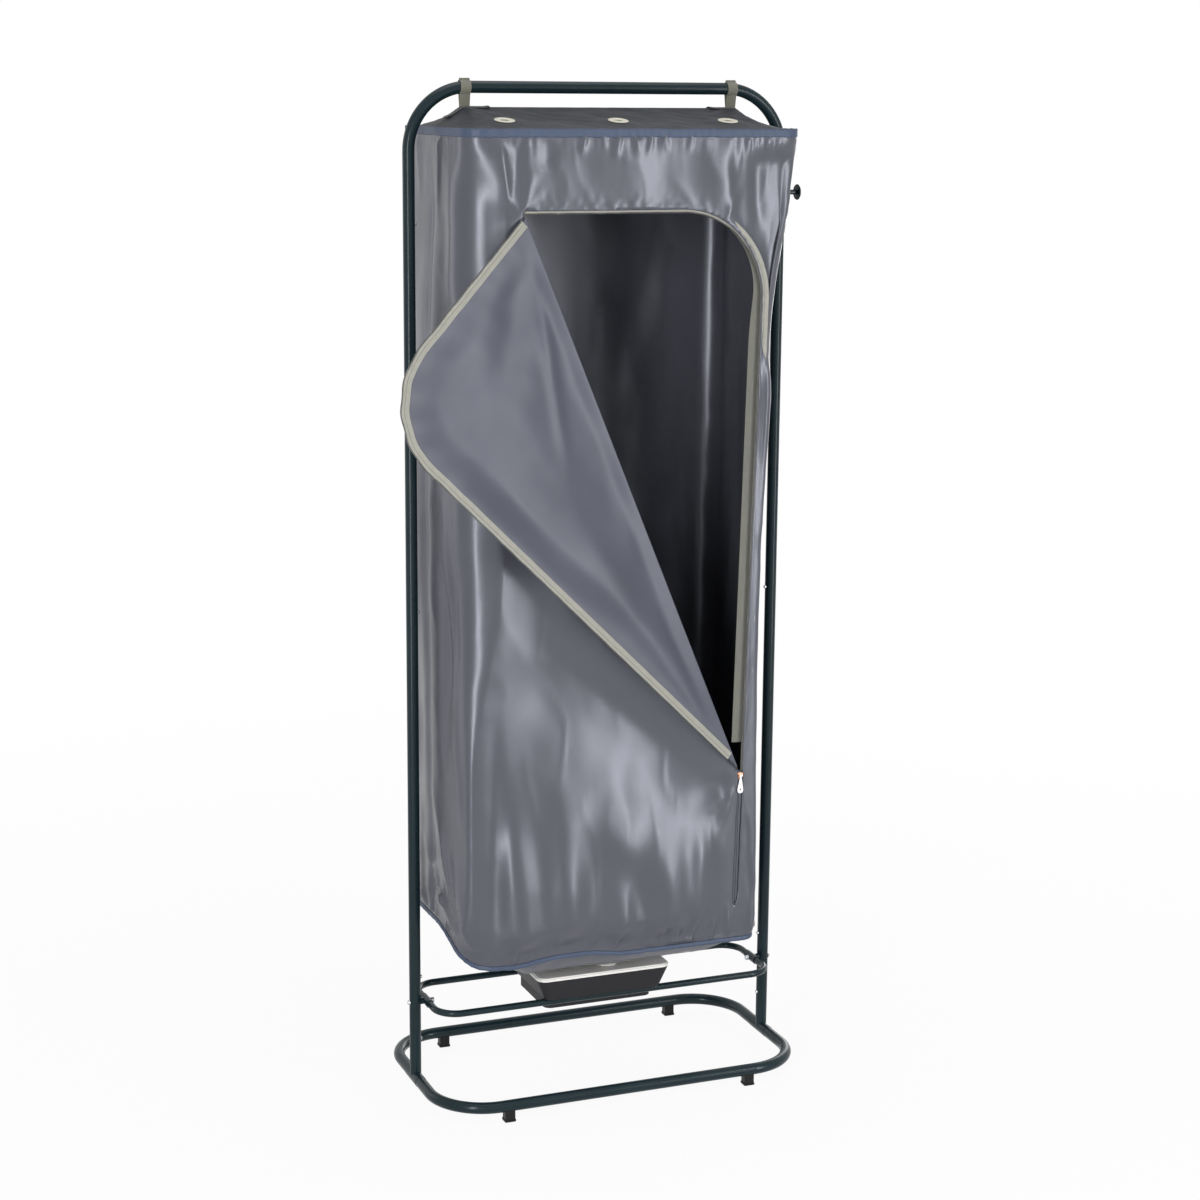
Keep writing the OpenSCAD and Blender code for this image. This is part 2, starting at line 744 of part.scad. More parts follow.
// Snap button: a domed pin with a flange behind the tube wall
module snap_button(z) {
  tip = tube_d / 2 + button_out;
  color([0.62, 0.65, 0.68]) translate([-upright_x, 0, z]) rotate([0, 90, 0]) rotate_extrude()
    polygon(concat(
      [[0, flange_r - flange_t], [flange_d / 2, flange_r - flange_t], [flange_d / 2, flange_r],
       [button_d / 2, flange_r]],
      [for (a = [0:15:90])
        [button_d / 2 - button_dome * (1 - cos(a)), tip - button_dome * (1 - sin(a))]],
      [[0, tip]]));
}

module snap_button_low_left() {
  snap_button(leg_top + button_up);
}

module snap_button_low_right() {
  mirror([1, 0, 0]) snap_button(leg_top + button_up);
}

module snap_button_mid_left() {
  snap_button(mid_joint_z + button_up);
}

module snap_button_mid_right() {
  mirror([1, 0, 0]) snap_button(mid_joint_z + button_up);
}

module snap_button_top_left() {
  snap_button(top_joint_z + button_up);
}

module snap_button_top_right() {
  mirror([1, 0, 0]) snap_button(top_joint_z + button_up);
}

// Leaf spring behind a button: bent like a hairpin, it bears on the far wall of the tube
module button_spring(z) {
  bow_r = (flange_r - flange_t + spigot_id / 2 - 0.85) / 2;
  mid_x = (flange_r - flange_t - spigot_id / 2 + 0.75) / 2;
  translate([-upright_x + mid_x, spring_w / 2, z - spring_len]) rotate([90, 0, 0])
    linear_extrude(height = spring_w) {
      difference() {
        circle(r = bow_r);
        circle(r = bow_r - spring_t);
        translate([-2 * bow_r, 0]) square([4 * bow_r, 2 * bow_r]);
      }
      translate([bow_r - spring_t, 0]) square([spring_t, spring_len + 2]);
      translate([-bow_r, 0]) square([spring_t, spring_len - 4]);
    }
}

module button_springs() {
  color([0.7, 0.71, 0.73]) for (s = [0, 1]) mirror([s, 0, 0])
    for (z = [leg_top, mid_joint_z, top_joint_z]) button_spring(z + button_up);
}

// Peg: a turned knob that screws into the right upright
module side_peg() {
  seat = peg_lead + trim_gap;
  edge = peg_disc_t * 0.35;
  frame_colour() translate([upright_x + tube_d / 2 - peg_lead, 0, peg_z]) rotate([0, 90, 0])
    difference() {
      rotate_extrude() polygon([
        [0, -peg_stud_len], [peg_stud_d / 2 - 0.1, -peg_stud_len], [peg_stud_d / 2 - 0.1, seat],
        [peg_d / 2, seat], [peg_d / 2, peg_len], [peg_head_d / 2 - edge, peg_len],
        [peg_head_d / 2, peg_len + edge], [peg_head_d / 2, peg_len + peg_disc_t - edge],
        [peg_head_d / 2 - edge, peg_len + peg_disc_t], [0, peg_len + peg_disc_t + 0.6]]);
      for (a = [0:60:300]) rotate([0, 0, a]) translate([peg_head_d / 2 - 4.5, 0, peg_len - 1])
        cylinder(h = 1.6, d = 2.4);
    }
}

// Webbing: a loop over the top bar, a stem through the roof and a loop under the rail
module strap_outline(grow) {
  apex_z = ridge_z + apex_h;
  hull() {
    translate([0, rail_bar_z]) circle(r = tube_d / 2 + trim_gap + grow, $fn = 40);
    translate([0, rail_bar_z - bar_fall]) circle(r = tube_d / 2 + trim_gap + grow, $fn = 40);
    translate([0, apex_z]) circle(r = 0.2 + grow, $fn = 16);
  }
}

module roof_strap(x) {
  color([0.42, 0.42, 0.36]) translate([x + strap_w / 2, 0, 0]) rotate([90, 0, -90])
    linear_extrude(height = strap_w) {
      difference() {
        union() {
          strap_outline(strap_t);
          translate([0, rail_bar_z + tube_d / 2 + strap_t]) circle(r = strap_end_r, $fn = 24);
        }
        strap_outline(0);
      }
      translate([-stem_t / 2, rail_z + rail_d / 2 + trim_gap])
        square([stem_t, ridge_z + apex_h - rail_z - rail_d / 2 - trim_gap]);
      translate([0, rail_z]) difference() {
        circle(r = rail_d / 2 + trim_gap + strap_t);
        circle(r = rail_d / 2 + trim_gap);
      }
    }
}

module roof_strap_left() {
  roof_strap(-strap_x);
}

module roof_strap_right() {
  roof_strap(strap_x);
}

module strap_slot() {
  for (s = [-1, 1]) translate([s * strap_x, 0, ridge_z])
    cube([strap_w + 2 * slot_gap, stem_t + slot_gap, slot_h], center = true);
}

// Webbing reinforcement sewn along each end of the ridge
module ridge_patches() {
  color([0.16, 0.17, 0.18]) difference() {
    intersection() {
      translate([0, 0, cloth_t + slack]) roof_sheet(patch_t);
      for (s = [0, 1]) mirror([s, 0, 0]) translate([patch_x, -patch_w / 2, bag_top])
        cube([patch_len, patch_w, 2 * roof_rise]);
    }
    strap_slot();
  }
}

module hanging_rail() {
  color([0.75, 0.76, 0.78]) translate([-rail_len / 2, 0, rail_z]) rotate([0, 90, 0])
    difference() {
      cylinder(h = rail_len, d = rail_d);
      translate([0, 0, -1]) cylinder(h = rail_len + 2, d = rail_d - 2 * rail_wall);
    }
}

module rail_caps() {
  color([0.08, 0.08, 0.09]) for (s = [0, 1]) mirror([s, 0, 0])
    translate([rail_len / 2, 0, rail_z]) rotate([0, 90, 0]) {
      cylinder(h = cap_t, d = rail_d + 1);
      translate([0, 0, -plug_len]) cylinder(h = plug_len + eps, d = rail_d - 2 * rail_wall - 0.1);
    }
}

// Wire hoop inside the top edge
module top_wire() {
  x = bag_w / 2 - cloth_t - wire_d / 2 - wire_gap;
  y = bag_d / 2 - cloth_t - wire_d / 2 - wire_gap;
  r = bag_corner_r - cloth_t - wire_d / 2 - wire_gap;
  z = bag_top - wire_d / 2 - 1;
  color([0.6, 0.6, 0.62]) for (s = [0, 1]) mirror([0, s, 0]) half_ring(x, y, r, z, wire_d, 0);
}

// Cloth bag
module cloth_colour() {
  color([0.43, 0.44, 0.5]) children();
}

module roof_sheet(t) {
  function at(i, j, up) = let(
      x = roof_x(i),
      y = roof_half(x) * (2 * j / roof_rows - 1)
    ) [x, y, roof_z(x, y) + trim_gap + up];
  sheet([for (i = [0:roof_cols]) [for (j = [0:roof_rows]) at(i, j, t)]],
    [for (i = [0:roof_cols]) [for (j = [0:roof_rows]) at(i, j, 0)]]);
}

module bag_roof() {
  cloth_colour() difference() {
    roof_sheet(cloth_t);
    strap_slot();
    for (i = [-1, 0, 1]) eyelet_place(i) cylinder(h = 20, d = eyelet_hole + 5, center = true);
  }
}

module eyelet_place(i) {
  x = i * eyelet_pitch - eyelet_shift;
  translate([x, -eyelet_y, roof_z(x, eyelet_y) + trim_gap + cloth_t / 2]) rotate([slope, 0, 0])
    children();
}

// Eyelet: two rolled flanges on a short barrel, closed over the cloth
module eyelets() {
  r0 = eyelet_hole / 2;
  r1 = eyelet_d / 2;
  lip = cloth_t / 2 + trim_gap;
  color([0.88, 0.87, 0.8]) for (i = [-1, 0, 1]) eyelet_place(i) rotate_extrude() polygon(concat(
    [[r0, -lip - 0.6]], [[r0 + 1.2, -lip - 1.6], [r1 - 2, -lip - 1.2], [r1 - 1, -lip]],
    [[r0 + 2, -lip], [r0 + 2, lip]],
    [[r1 - 0.6, lip], [r1, lip + 0.5], [r1 - 0.6, lip + 1.3], [r1 - 3, lip + 1.9],
     [r0 + 3, lip + 1.7], [r0, lip + 0.6]]));
}

module bag_front() {
  cloth_colour() difference() {
    sheet([for (i = [0:front_cols]) [for (j = [0:wall_rows]) front_point(i / front_cols, level(j), 0)]],
      [for (i = [0:front_cols]) [for (j = [0:wall_rows]) front_point(i / front_cols, level(j), cloth_t)]]);
    door_opening();
  }
}

// The part of the door that folds away, and the slit for the closed zip below it
module door_opening() {
  front_prism(20) {
    polygon(concat([fold_a], [for (p = zip_path(cloth_back, slider_z)) if (beyond_fold(p) > 0) p],
      [fold_b]));
    translate([zip_x(slider_z), slider_z]) rotate(-door_lean)
      translate([-cloth_back, zip_end_z - slider_z])
        square([2 * cloth_back, slider_z - zip_end_z + slider_h / 2 + 1]);
  }
}

// A prism through the front wall, whose outline is given as x and z
module front_prism(t, y = front_y) {
  translate([0, y + t / 2, 0]) rotate([90, 0, 0]) linear_extrude(height = t) children();
}

module bag_left() {
  cloth_colour() sheet(
    [for (i = [0:side_cols]) [for (j = [0:wall_rows]) left_point(i / side_cols, level(j), 0)]],
    [for (i = [0:side_cols]) [for (j = [0:wall_rows]) left_point(i / side_cols, level(j), cloth_t)]]);
}

module bag_right() {
  cloth_colour() sheet(
    [for (i = [0:side_cols]) [for (j = [0:wall_rows]) right_point(i / side_cols, level(j), 0)]],
    [for (i = [0:side_cols]) [for (j = [0:wall_rows]) right_point(i / side_cols, level(j), cloth_t)]]);
}

module bag_back() {
  cloth_colour() sheet(
    [for (i = [0:back_cols]) [for (j = [0:wall_rows]) back_point(i / back_cols, level(j), 0)]],
    [for (i = [0:back_cols]) [for (j = [0:wall_rows]) back_point(i / back_cols, level(j), cloth_t)]]);
}

// Floor: hangs below the hem and gathers in to the heater's outlet
floor_rows = 4;
floor_drop = 38;
floor_rim_z = dial_top + heater_lift + cloth_t + 2 * slack;

module bag_floor() {
  edge = outline(0, 0.2);
  centre = [heater_x, collar_y];
  rim_r = collar_d / 2 + opening_gap;
  function at(p, t, down) = let(
      flat_p = [p[0], p[1]],
      out = (flat_p - centre) / norm(flat_p - centre),
      q = flat_p + (centre + out * rim_r - flat_p) * t,
      z = p[2] + (floor_rim_z - p[2]) * smooth(t) - floor_drop * 0.5 * sin(180 * min(1, 1.6 * t))
    ) [q[0], q[1], max(z, floor_rim_z) - slack - down];
  n = len(edge);
  rows = [for (k = [0:floor_rows]) pow(k / floor_rows, 1.6)];
  cloth_colour() loop_sweep([for (i = [0:n - 1]) concat(
    [for (t = rows) at(edge[i], t, 0)],
    [for (t = backwards(rows)) at(edge[i], t, cloth_t)])]);
}

module binding(v, z_low, z_high) {
  outer = outline(v, -trim_gap - binding_t);
  inner = outline(v, -trim_gap);
  loop_sweep([for (i = [0:len(outer) - 1]) [
    [outer[i][0], outer[i][1], outer[i][2] + z_low], [outer[i][0], outer[i][1], outer[i][2] + z_high],
    [inner[i][0], inner[i][1], inner[i][2] + z_high], [inner[i][0], inner[i][1], inner[i][2] + z_low]]]);
}

module top_binding() {
  color([0.3, 0.38, 0.56]) binding(1, -binding_h + 4, 4);
}

module hem_binding() {
  color([0.3, 0.38, 0.56]) binding(0, -4, binding_h - 6);
}

// Door flap, drawn closed in the front plane and then folded open over its crease
module fold_open() {
  translate([fold_a[0], fold_axis_y, fold_a[1]])
    rotate(a = flap_open, v = [fold_dir[0], 0, fold_dir[1]])
      translate([-fold_a[0], -fold_axis_y, -fold_a[1]]) children();
}

// The outline of the flap, kept back from the crease, the zip line and the slider
module flap_outline(back, gap = fold_gap) {
  difference() {
    polygon(concat([fold_a], zip_path(-back, slider_z + tip_gap), [fold_b]));
    translate(fold_a) rotate(atan2(fold_dir[1], fold_dir[0]))
      translate([-frame_h, -frame_h]) square([2 * frame_h, frame_h + gap]);
    translate([-frame_h, 0]) square([2 * frame_h, slider_z + tip_gap]);
  }
}

module door_flap() {
  cloth_colour() fold_open() front_prism(cloth_t, front_y + cloth_t / 2) flap_outline(cloth_back);
}

// The half of the zip on the flap, on the flap's inner face
module flap_zip_tape() {
  color([0.64, 0.63, 0.58]) fold_open() {
    front_prism(tape_t, tape_y) difference() {
      flap_outline(teeth_gap, tape_fold_gap);
      flap_outline(tape_w);
    }
    front_prism(chain_t, tape_y) difference() {
      flap_outline(teeth_gap, tape_fold_gap);
      flap_outline(teeth_w);
    }
  }
}

// The half of the zip on the opening's edge, behind the cloth
module door_zip_tape() {
  top = slider_z + tip_gap;
  color([0.64, 0.63, 0.58]) {
    front_prism(tape_t, tape_y)
      polygon(concat(zip_path(teeth_gap, top), backwards(zip_path(tape_w, top))));
    front_prism(chain_t, tape_y)
      polygon(concat(zip_path(teeth_gap, top), backwards(zip_path(teeth_w, top))));
    for (s = [0, 1]) zip_frame(tape_y) mirror([s, 0, 0])
      translate([chain_w / 2 + 0.1, -tape_t / 2, zip_end_z - slider_z])
        cube([tape_w - chain_w / 2 - 0.1, tape_t, slider_z - zip_end_z + (s == 0 ? tip_gap + 0.5 : 0)]);
  }
}

// Puts its children on the zip line, with their origin at the slider
module zip_frame(y) {
  translate([zip_x(slider_z), y, slider_z]) rotate([0, door_lean, 0]) children();
}

module zip_chain() {
  color([0.2, 0.2, 0.21]) zip_frame(tape_y)
    translate([-chain_w / 2, -chain_t / 2, zip_end_z - slider_z])
      cube([chain_w, chain_t, slider_z - zip_end_z]);
}

// Slider: two plates joined by a post between the open teeth, with a bridge for the pull
module zip_slider() {
  inner = chain_t + 2 * chain_gap;
  function half_plate(s) = [
    [s * (slider_w / 2 - slider_chamfer), -slider_h / 2], [s * (slider_w / 2 - slider_waist), 0],
    [s * slider_w / 2, slider_h / 2 - 2], [s * (slider_w / 2 - 1.5), slider_h / 2]];
  color([0.72, 0.45, 0.3]) zip_frame(tape_y) difference() {
    union() {
      rotate([90, 0, 0]) linear_extrude(height = inner + 2 * slider_t, center = true)
        polygon(concat(half_plate(1), backwards(half_plate(-1))));
      for (s = [-1, 1]) translate([s * bridge_w / 2, bridge_y - tape_y, bridge_up])
        translate([-ear_t / 2, -bridge_d / 2 - 0.6, -1.8]) cube([ear_t, 4, 3.6]);
      translate([0, bridge_y - tape_y, bridge_up]) rotate([0, 90, 0])
        cylinder(h = bridge_w, d = bridge_d, center = true);
    }
    difference() {
      union() {
        cube([chain_w + 2 * chain_gap, inner, slider_h + 2], center = true);
        cube([slider_w + 2, tape_t + 2 * chain_gap, slider_h + 2], center = true);
      }
      translate([-post_w / 2, -inner, 1.5]) cube([post_w, 2 * inner, slider_h / 2 - 1.5]);
    }
  }
}

// Pull tab: hangs from the bridge by an eye
module zip_pull() {
  color([0.82, 0.82, 0.83]) zip_frame(bridge_y) translate([0, 0, bridge_up]) difference() {
    union() {
      rotate([0, 90, 0]) cylinder(h = pull_neck_w, r = bridge_d / 2 + pull_gap + 1, center = true);
      translate([-pull_neck_w / 2, -pull_t / 2, -pull_neck_len])
        cube([pull_neck_w, pull_t, pull_neck_len - 1]);
      translate([0, pull_t / 2, 0]) rotate([90, 0, 0]) linear_extrude(height = pull_t) {
        hull() {
          translate([0, -pull_neck_len]) circle(r = 2.2, $fn = 32);
          translate([0, -pull_len + pull_w / 2]) circle(r = pull_w / 2, $fn = 32);
        }
      }
    }
    rotate([0, 90, 0]) cylinder(h = 4, r = bridge_d / 2 + pull_gap, center = true);
    translate([0, 0, -pull_len + 7]) rotate([90, 0, 0]) cylinder(h = 4, d = pull_hole_d, center = true);
  }
}

// Heater
module heater_plan(w, d, r, z, h) {
  translate([heater_x, 0, z]) linear_extrude(height = h) rounded_plan(w, d, r);
}

// The tapered side of the base, between its foot and its rim
module taper_body(inset, low, high) {
  hull() {
    heater_plan(heater_w - 2 * taper_x - 2 * inset, heater_d - 2 * taper_y - 2 * inset,
      heater_corner_r - 4, low, eps, $fn = 32);
    heater_plan(heater_w - 2 * inset, heater_d - 2 * inset, heater_corner_r, high - eps, eps, $fn = 32);
  }
}

module screw_places(z) {
  for (x = [-1, 1]) for (y = [-1, 1])
    translate([heater_x + x * screw_px, y * screw_py, z]) children();
}

module heater_base() {
  belly_z = heater_floor_z - belly_h;
  color([0.17, 0.17, 0.18]) difference() {
    union() {
      difference() {
        union() {
          taper_body(0, heater_floor_z, rim_z);
          heater_plan(belly_w, belly_d, 14, belly_z, belly_h + 1);
        }
        taper_body(shell_t, heater_floor_z + shell_t, rim_z + eps);
        heater_plan(belly_w - 2 * shell_t, belly_d - 2 * shell_t, 12, belly_z + shell_t, belly_h + 4);
      }
      screw_places(heater_floor_z + 1) cylinder(h = heater_side_h - 3, d = boss_d);
      translate([heater_x, collar_y, belly_z + 1]) cylinder(h = motor_seat_h, d = motor_seat_d);
    }
    screw_places(heater_floor_z - 1) cylinder(h = heater_side_h + 2, d = shank_hole_d);
    screw_places(heater_floor_z - 1) cylinder(h = head_h + 2, d = head_d + 2 * slack);
    for (i = [-slots_each_side:slots_each_side])
      translate([heater_x + i * slot_pitch - slot_w / 2, -belly_d / 2 + slots_front, belly_z - 1])
        cube([slot_w, belly_d - slots_front - slots_back, shell_t + 2]);
    translate([heater_x - inlet_x, heater_d / 2 + 4, heater_floor_z + heater_side_h / 2])
      rotate([90, 0, 0]) cylinder(h = taper_y + 8, d = inlet_d);
  }
}

module heater_cover() {
  color([0.92, 0.91, 0.88]) difference() {
    union() {
      heater_plan(heater_w, heater_d, heater_corner_r, rim_z + trim_gap, cover_t - 2 - trim_gap);
      heater_plan(heater_w - 4, heater_d - 4, heater_corner_r - 2, rim_z + 1, cover_t - 1);
      translate([heater_x, collar_y, rim_z + 1]) rotate_extrude() polygon([
        [0, 0], [collar_d / 2 + 5, 0], [collar_d / 2 + 5, cover_t - 1], [collar_d / 2 + 2, cover_t],
        [collar_d / 2, cover_t + 3], [collar_d / 2, collar_top - rim_z - 1], [0, collar_top - rim_z - 1]]);
    }
    difference() {
      heater_plan(heater_w - 4 * shell_t, heater_d - 4 * shell_t, heater_corner_r - 6, rim_z - 3,
        3 + cover_t - shell_t);
      screw_places(rim_z - 1.6) cylinder(h = 10, d = boss_d - 1);
    }
    translate([heater_x, collar_y, rim_z - 5])
      cylinder(h = collar_top - rim_z + 10, d = collar_d - 2 * shell_t);
    translate([heater_x + dial_x, -dial_y, cover_top - dial_well]) cylinder(h = 5, d = dial_d + 3);
    translate([heater_x + dial_x, -dial_y, rim_z - 5]) cylinder(h = 20, d = stem_d + 2);
    screw_places(rim_z - 5) cylinder(h = 8.6, d = shank_d + 0.1);
    // Scale marks round the dial
    for (a = [-135:30:135]) translate([heater_x + dial_x, -dial_y, cover_top - mark_deep])
      rotate([0, 0, a]) translate([-mark_w / 2, dial_d / 2 + 4, 0]) cube([mark_w, mark_len, 2]);
  }
}

// Outlet grille: rings on four spokes, dropped into the collar
module outlet_grille() {
  outer_d = collar_d - 2 * shell_t - 2 * trim_gap;
  color([0.12, 0.12, 0.13]) translate([heater_x, collar_y, grille_z]) {
    for (d = [outer_d:-2 * grille_pitch:grille_hub_d + 2]) difference() {
      cylinder(h = grille_h, d = d);
      translate([0, 0, -1]) cylinder(h = grille_h + 2, d = d - 2 * grille_ring_w);
    }
    difference() {
      cylinder(h = grille_h, d = grille_hub_d);
      translate([0, 0, -1]) cylinder(h = grille_h + 2, d = grille_hub_d / 3);
    }
    for (a = [0:45:135]) rotate([0, 0, a]) difference() {
      translate([-outer_d / 2 + grille_ring_w / 2, -grille_ring_w / 2, 0])
        cube([outer_d - grille_ring_w, grille_ring_w, grille_h]);
      cylinder(h = 4 * grille_h, d = grille_hub_d - 2, center = true);
    }
  }
}

// Dial: a fluted knob with a skirt, a pointer groove and a blind bore for the timer's shaft
module control_dial() {
  color([0.9, 0.9, 0.88]) translate([heater_x + dial_x, -dial_y, dial_base]) difference() {
    union() {
      cylinder(h = 3, d = dial_d);
      cylinder(h = dial_h, d1 = dial_d - 6, d2 = dial_d - 9);
    }
    for (a = [15:30:345]) rotate([0, 0, a])
      translate([dial_d / 2 - 2, 0, 3]) cylinder(h = dial_h, d = flute_d);
    translate([-0.8, 4, dial_h - 0.8]) cube([1.6, dial_d / 2, 2]);
    translate([0, 0, -1]) cylinder(h = dial_h - 2, d = stem_d + 2 * run_gap);
  }
}

module dial_timer() {
  body_top = cover_top - shell_t - slack;
  color([0.85, 0.85, 0.82]) translate([heater_x + dial_x, -dial_y, 0]) {
    translate([0, 0, body_top - timer_h]) linear_extrude(height = timer_h)
      rounded_plan(timer_w, timer_d, 4);
    translate([0, 0, body_top - 1]) cylinder(h = dial_top - 3 - body_top, d = stem_d);
  }
}

module fan_motor() {
  low = heater_floor_z - belly_h + motor_seat_h + 1 + trim_gap;
  color([0.6, 0.6, 0.62]) translate([heater_x, collar_y, 0]) {
    translate([0, 0, low]) cylinder(h = fan_z - low - 2, d = motor_d);
    translate([0, 0, fan_z - 3]) cylinder(h = fan_h + 1, d = shaft_d);
  }
}

// Impeller: a hub that runs on the motor shaft, with pitched blades
module fan_impeller() {
  color([0.2, 0.2, 0.21]) translate([heater_x, collar_y, fan_z]) difference() {
    union() {
      cylinder(h = fan_h, d = hub_d);
      intersection() {
        for (i = [1:blades]) rotate([0, 0, 360 / blades * i]) translate([hub_d / 2 - 2, 0, fan_h / 2])
          rotate([blade_pitch, 0, 0]) translate([0, -blade_chord / 2, -blade_t / 2])
            cube([fan_d, blade_chord, blade_t]);
        cylinder(h = fan_h, d = fan_d);
      }
    }
    translate([0, 0, -1]) cylinder(h = fan_h, d = shaft_d + 2 * run_gap);
  }
}

// Heating element: a ring frame on three feet, with a grid of flat fins
module heating_element() {
  d = collar_d - 2 * shell_t - 2 * slack;
  color([0.75, 0.72, 0.65]) translate([heater_x, collar_y, element_z]) {
    difference() {
      cylinder(h = element_h, d = d);
      translate([0, 0, -1]) cylinder(h = element_h + 2, d = d - 2 * element_wall);
    }
    for (i = [-2.5:2.5]) intersection() {
      translate([-d / 2, i * rib_pitch - rib_t / 2, 3]) cube([d, rib_t, element_h - 6]);
      cylinder(h = element_h, d = d - 2);
    }
    intersection() {
      for (i = [-3:3]) translate([i * fin_pitch - fin_t / 2, -d / 2, 5])
        cube([fin_t, d, element_h - 10]);
      cylinder(h = element_h, d = d - 2);
    }
  }
}

module cord_inlet() {
  color([0.08, 0.08, 0.09])
    translate([heater_x - inlet_x, heater_d / 2 - 6.5, heater_floor_z + heater_side_h / 2])
      rotate([-90, 0, 0]) difference() {
        union() {
          translate([0, 0, -2]) cylinder(h = 9, d = inlet_d - slack);
          translate([0, 0, 6.2]) cylinder(h = 2, d = inlet_flange_d);
          translate([0, 0, 6.2]) cylinder(h = 8, d1 = inlet_d, d2 = cord_d + 2.5);
        }
        translate([0, 0, -3]) cylinder(h = 30, d = cord_d);
      }
}

module heater_screws() {
  color([0.7, 0.71, 0.72]) screw_places(heater_floor_z + 0.9) {
    cylinder(h = head_h, d = head_d);
    cylinder(h = heater_side_h + 1, d = shank_d);
  }
}

top_rail();
upper_upright_left();
upper_upright_right();
lower_upright_left();
lower_upright_right();
leg_left();
leg_right();
base_tee_left();
base_tee_right();
base_ring_front();
base_ring_rear();
shelf_ring_front();
shelf_ring_rear();
shelf_joiners();
shelf_bolts();
tee_screws();
foot_front_left();
foot_front_right();
foot_rear_left();
foot_rear_right();
snap_button_low_left();
snap_button_low_right();
snap_button_mid_left();
snap_button_mid_right();
snap_button_top_left();
snap_button_top_right();
button_springs();
side_peg();
roof_strap_left();
roof_strap_right();
ridge_patches();
hanging_rail();
rail_caps();
top_wire();
bag_roof();
bag_front();
bag_left();
bag_right();
bag_back();
bag_floor();
top_binding();
hem_binding();
eyelets();
door_flap();
flap_zip_tape();
door_zip_tape();
zip_chain();
zip_slider();
zip_pull();
heater_base();
heater_cover();
outlet_grille();
control_dial();
dial_timer();
fan_motor();
fan_impeller();
heating_element();
cord_inlet();
heater_screws();
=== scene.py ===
"""Looks of a heated clothes drying cabinet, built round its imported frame.

The hanging cloth bag, its zip, bindings and webbing are modelled here as cloth and tape. The
tubes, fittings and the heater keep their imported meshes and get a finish.
"""

import math

import bpy
import numpy as np
from bpy.props import FloatProperty, FloatVectorProperty, PointerProperty
from mathutils import Matrix, Vector


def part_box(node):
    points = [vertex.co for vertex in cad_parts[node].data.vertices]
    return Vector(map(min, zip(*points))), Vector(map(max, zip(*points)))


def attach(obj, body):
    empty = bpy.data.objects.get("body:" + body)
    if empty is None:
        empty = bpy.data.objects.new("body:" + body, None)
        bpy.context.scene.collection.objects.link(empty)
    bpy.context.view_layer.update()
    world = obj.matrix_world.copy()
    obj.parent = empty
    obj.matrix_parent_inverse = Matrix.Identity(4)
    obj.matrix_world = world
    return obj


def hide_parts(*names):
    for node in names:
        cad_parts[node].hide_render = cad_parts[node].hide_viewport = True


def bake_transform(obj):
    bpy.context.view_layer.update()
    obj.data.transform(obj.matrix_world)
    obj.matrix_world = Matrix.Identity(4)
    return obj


bl_info = {
    "name": "Drying cabinet",
    "version": (1, 0, 0),
    "blender": (4, 5, 0),
    "location": "View3D > Sidebar > Drying cabinet",
    "description": "Cloth, zip, webbing and finishes of a heated clothes drying cabinet",
    "category": "Object",
}

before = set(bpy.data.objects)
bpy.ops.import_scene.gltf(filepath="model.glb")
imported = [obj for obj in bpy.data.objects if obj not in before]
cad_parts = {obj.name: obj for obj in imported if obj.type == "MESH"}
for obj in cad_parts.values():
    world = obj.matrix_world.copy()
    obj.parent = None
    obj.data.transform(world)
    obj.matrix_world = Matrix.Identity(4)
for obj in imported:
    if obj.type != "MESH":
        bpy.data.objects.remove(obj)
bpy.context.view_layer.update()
MM = 0.001

# Sizes of the bag, read from the frame where a solid shows them
BINDING_OUT = 1.55 * MM
BINDING_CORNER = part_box("top_binding")[1]
HALF_W = BINDING_CORNER.x - BINDING_OUT
HALF_D = BINDING_CORNER.y - BINDING_OUT
FRONT_Y = -HALF_D
BAG_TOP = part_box("bag_back")[1].z
HEM_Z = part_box("bag_front")[0].z
CORNER_R = 35 * MM
LOOSE_R = 8 * MM
HEM_LIFT = 30 * MM
SIDE_Y = HALF_D - CORNER_R
BINDING_H = 13 * MM

# Sizes of the roof
RIDGE_RISE = 35 * MM
RIDGE_TOP = BAG_TOP + RIDGE_RISE
HIP_RUN = 50 * MM
ROOF_IN = 1 * MM
EYELETS = [(-0.205, -0.103), (-0.009, -0.103), (0.187, -0.103)]
EYELET_HOLE_R = 9.5 * MM
EYELET_CALM_R = 17 * MM

# Sizes of the door and its zip
TAPE_W = 16 * MM
TAPE_T = 0.6 * MM
TAPE_LOW, TAPE_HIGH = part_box("door_zip_tape")
DOOR_LEFT = TAPE_LOW.x
DOOR_TOP = TAPE_HIGH.z - TAPE_W
DOOR_RIGHT = TAPE_HIGH.x - TAPE_W
DOOR_R = 140 * MM
DOOR_LEAN = math.tan(math.radians(1.4))
CORNER_Z = DOOR_TOP - DOOR_R
CORNER_X = DOOR_RIGHT - DOOR_R
ZIP_END = TAPE_LOW.z
SLIDER_LOW, SLIDER_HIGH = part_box("zip_slider")
SLIDER_Z = (SLIDER_LOW.z + SLIDER_HIGH.z) / 2
OPEN_ZIP_LOW = SLIDER_Z + 9 * MM
TAPE_Y = FRONT_Y + 2.05 * MM
TOOTH_SIZE = (1.05 * MM, 2.5 * MM, 1.3 * MM)

# How far the cloth's cut edge lies outside the zip line: at the door's top, its right side, and
# beside the closed zip
DOOR_EDGE = 6 * MM
SIDE_EDGE = 3.4 * MM
SLIT_EDGE = 4.9 * MM

# Sizes of the door's flap
FLAP_ANGLE = math.radians(168)
FLAP_BACK = 3.2 * MM
FLAP_REACH = 352 * MM
FOLD_R = 1 * MM
TIP_GAP = 14 * MM
FLAP_LOW = SLIDER_Z + TIP_GAP

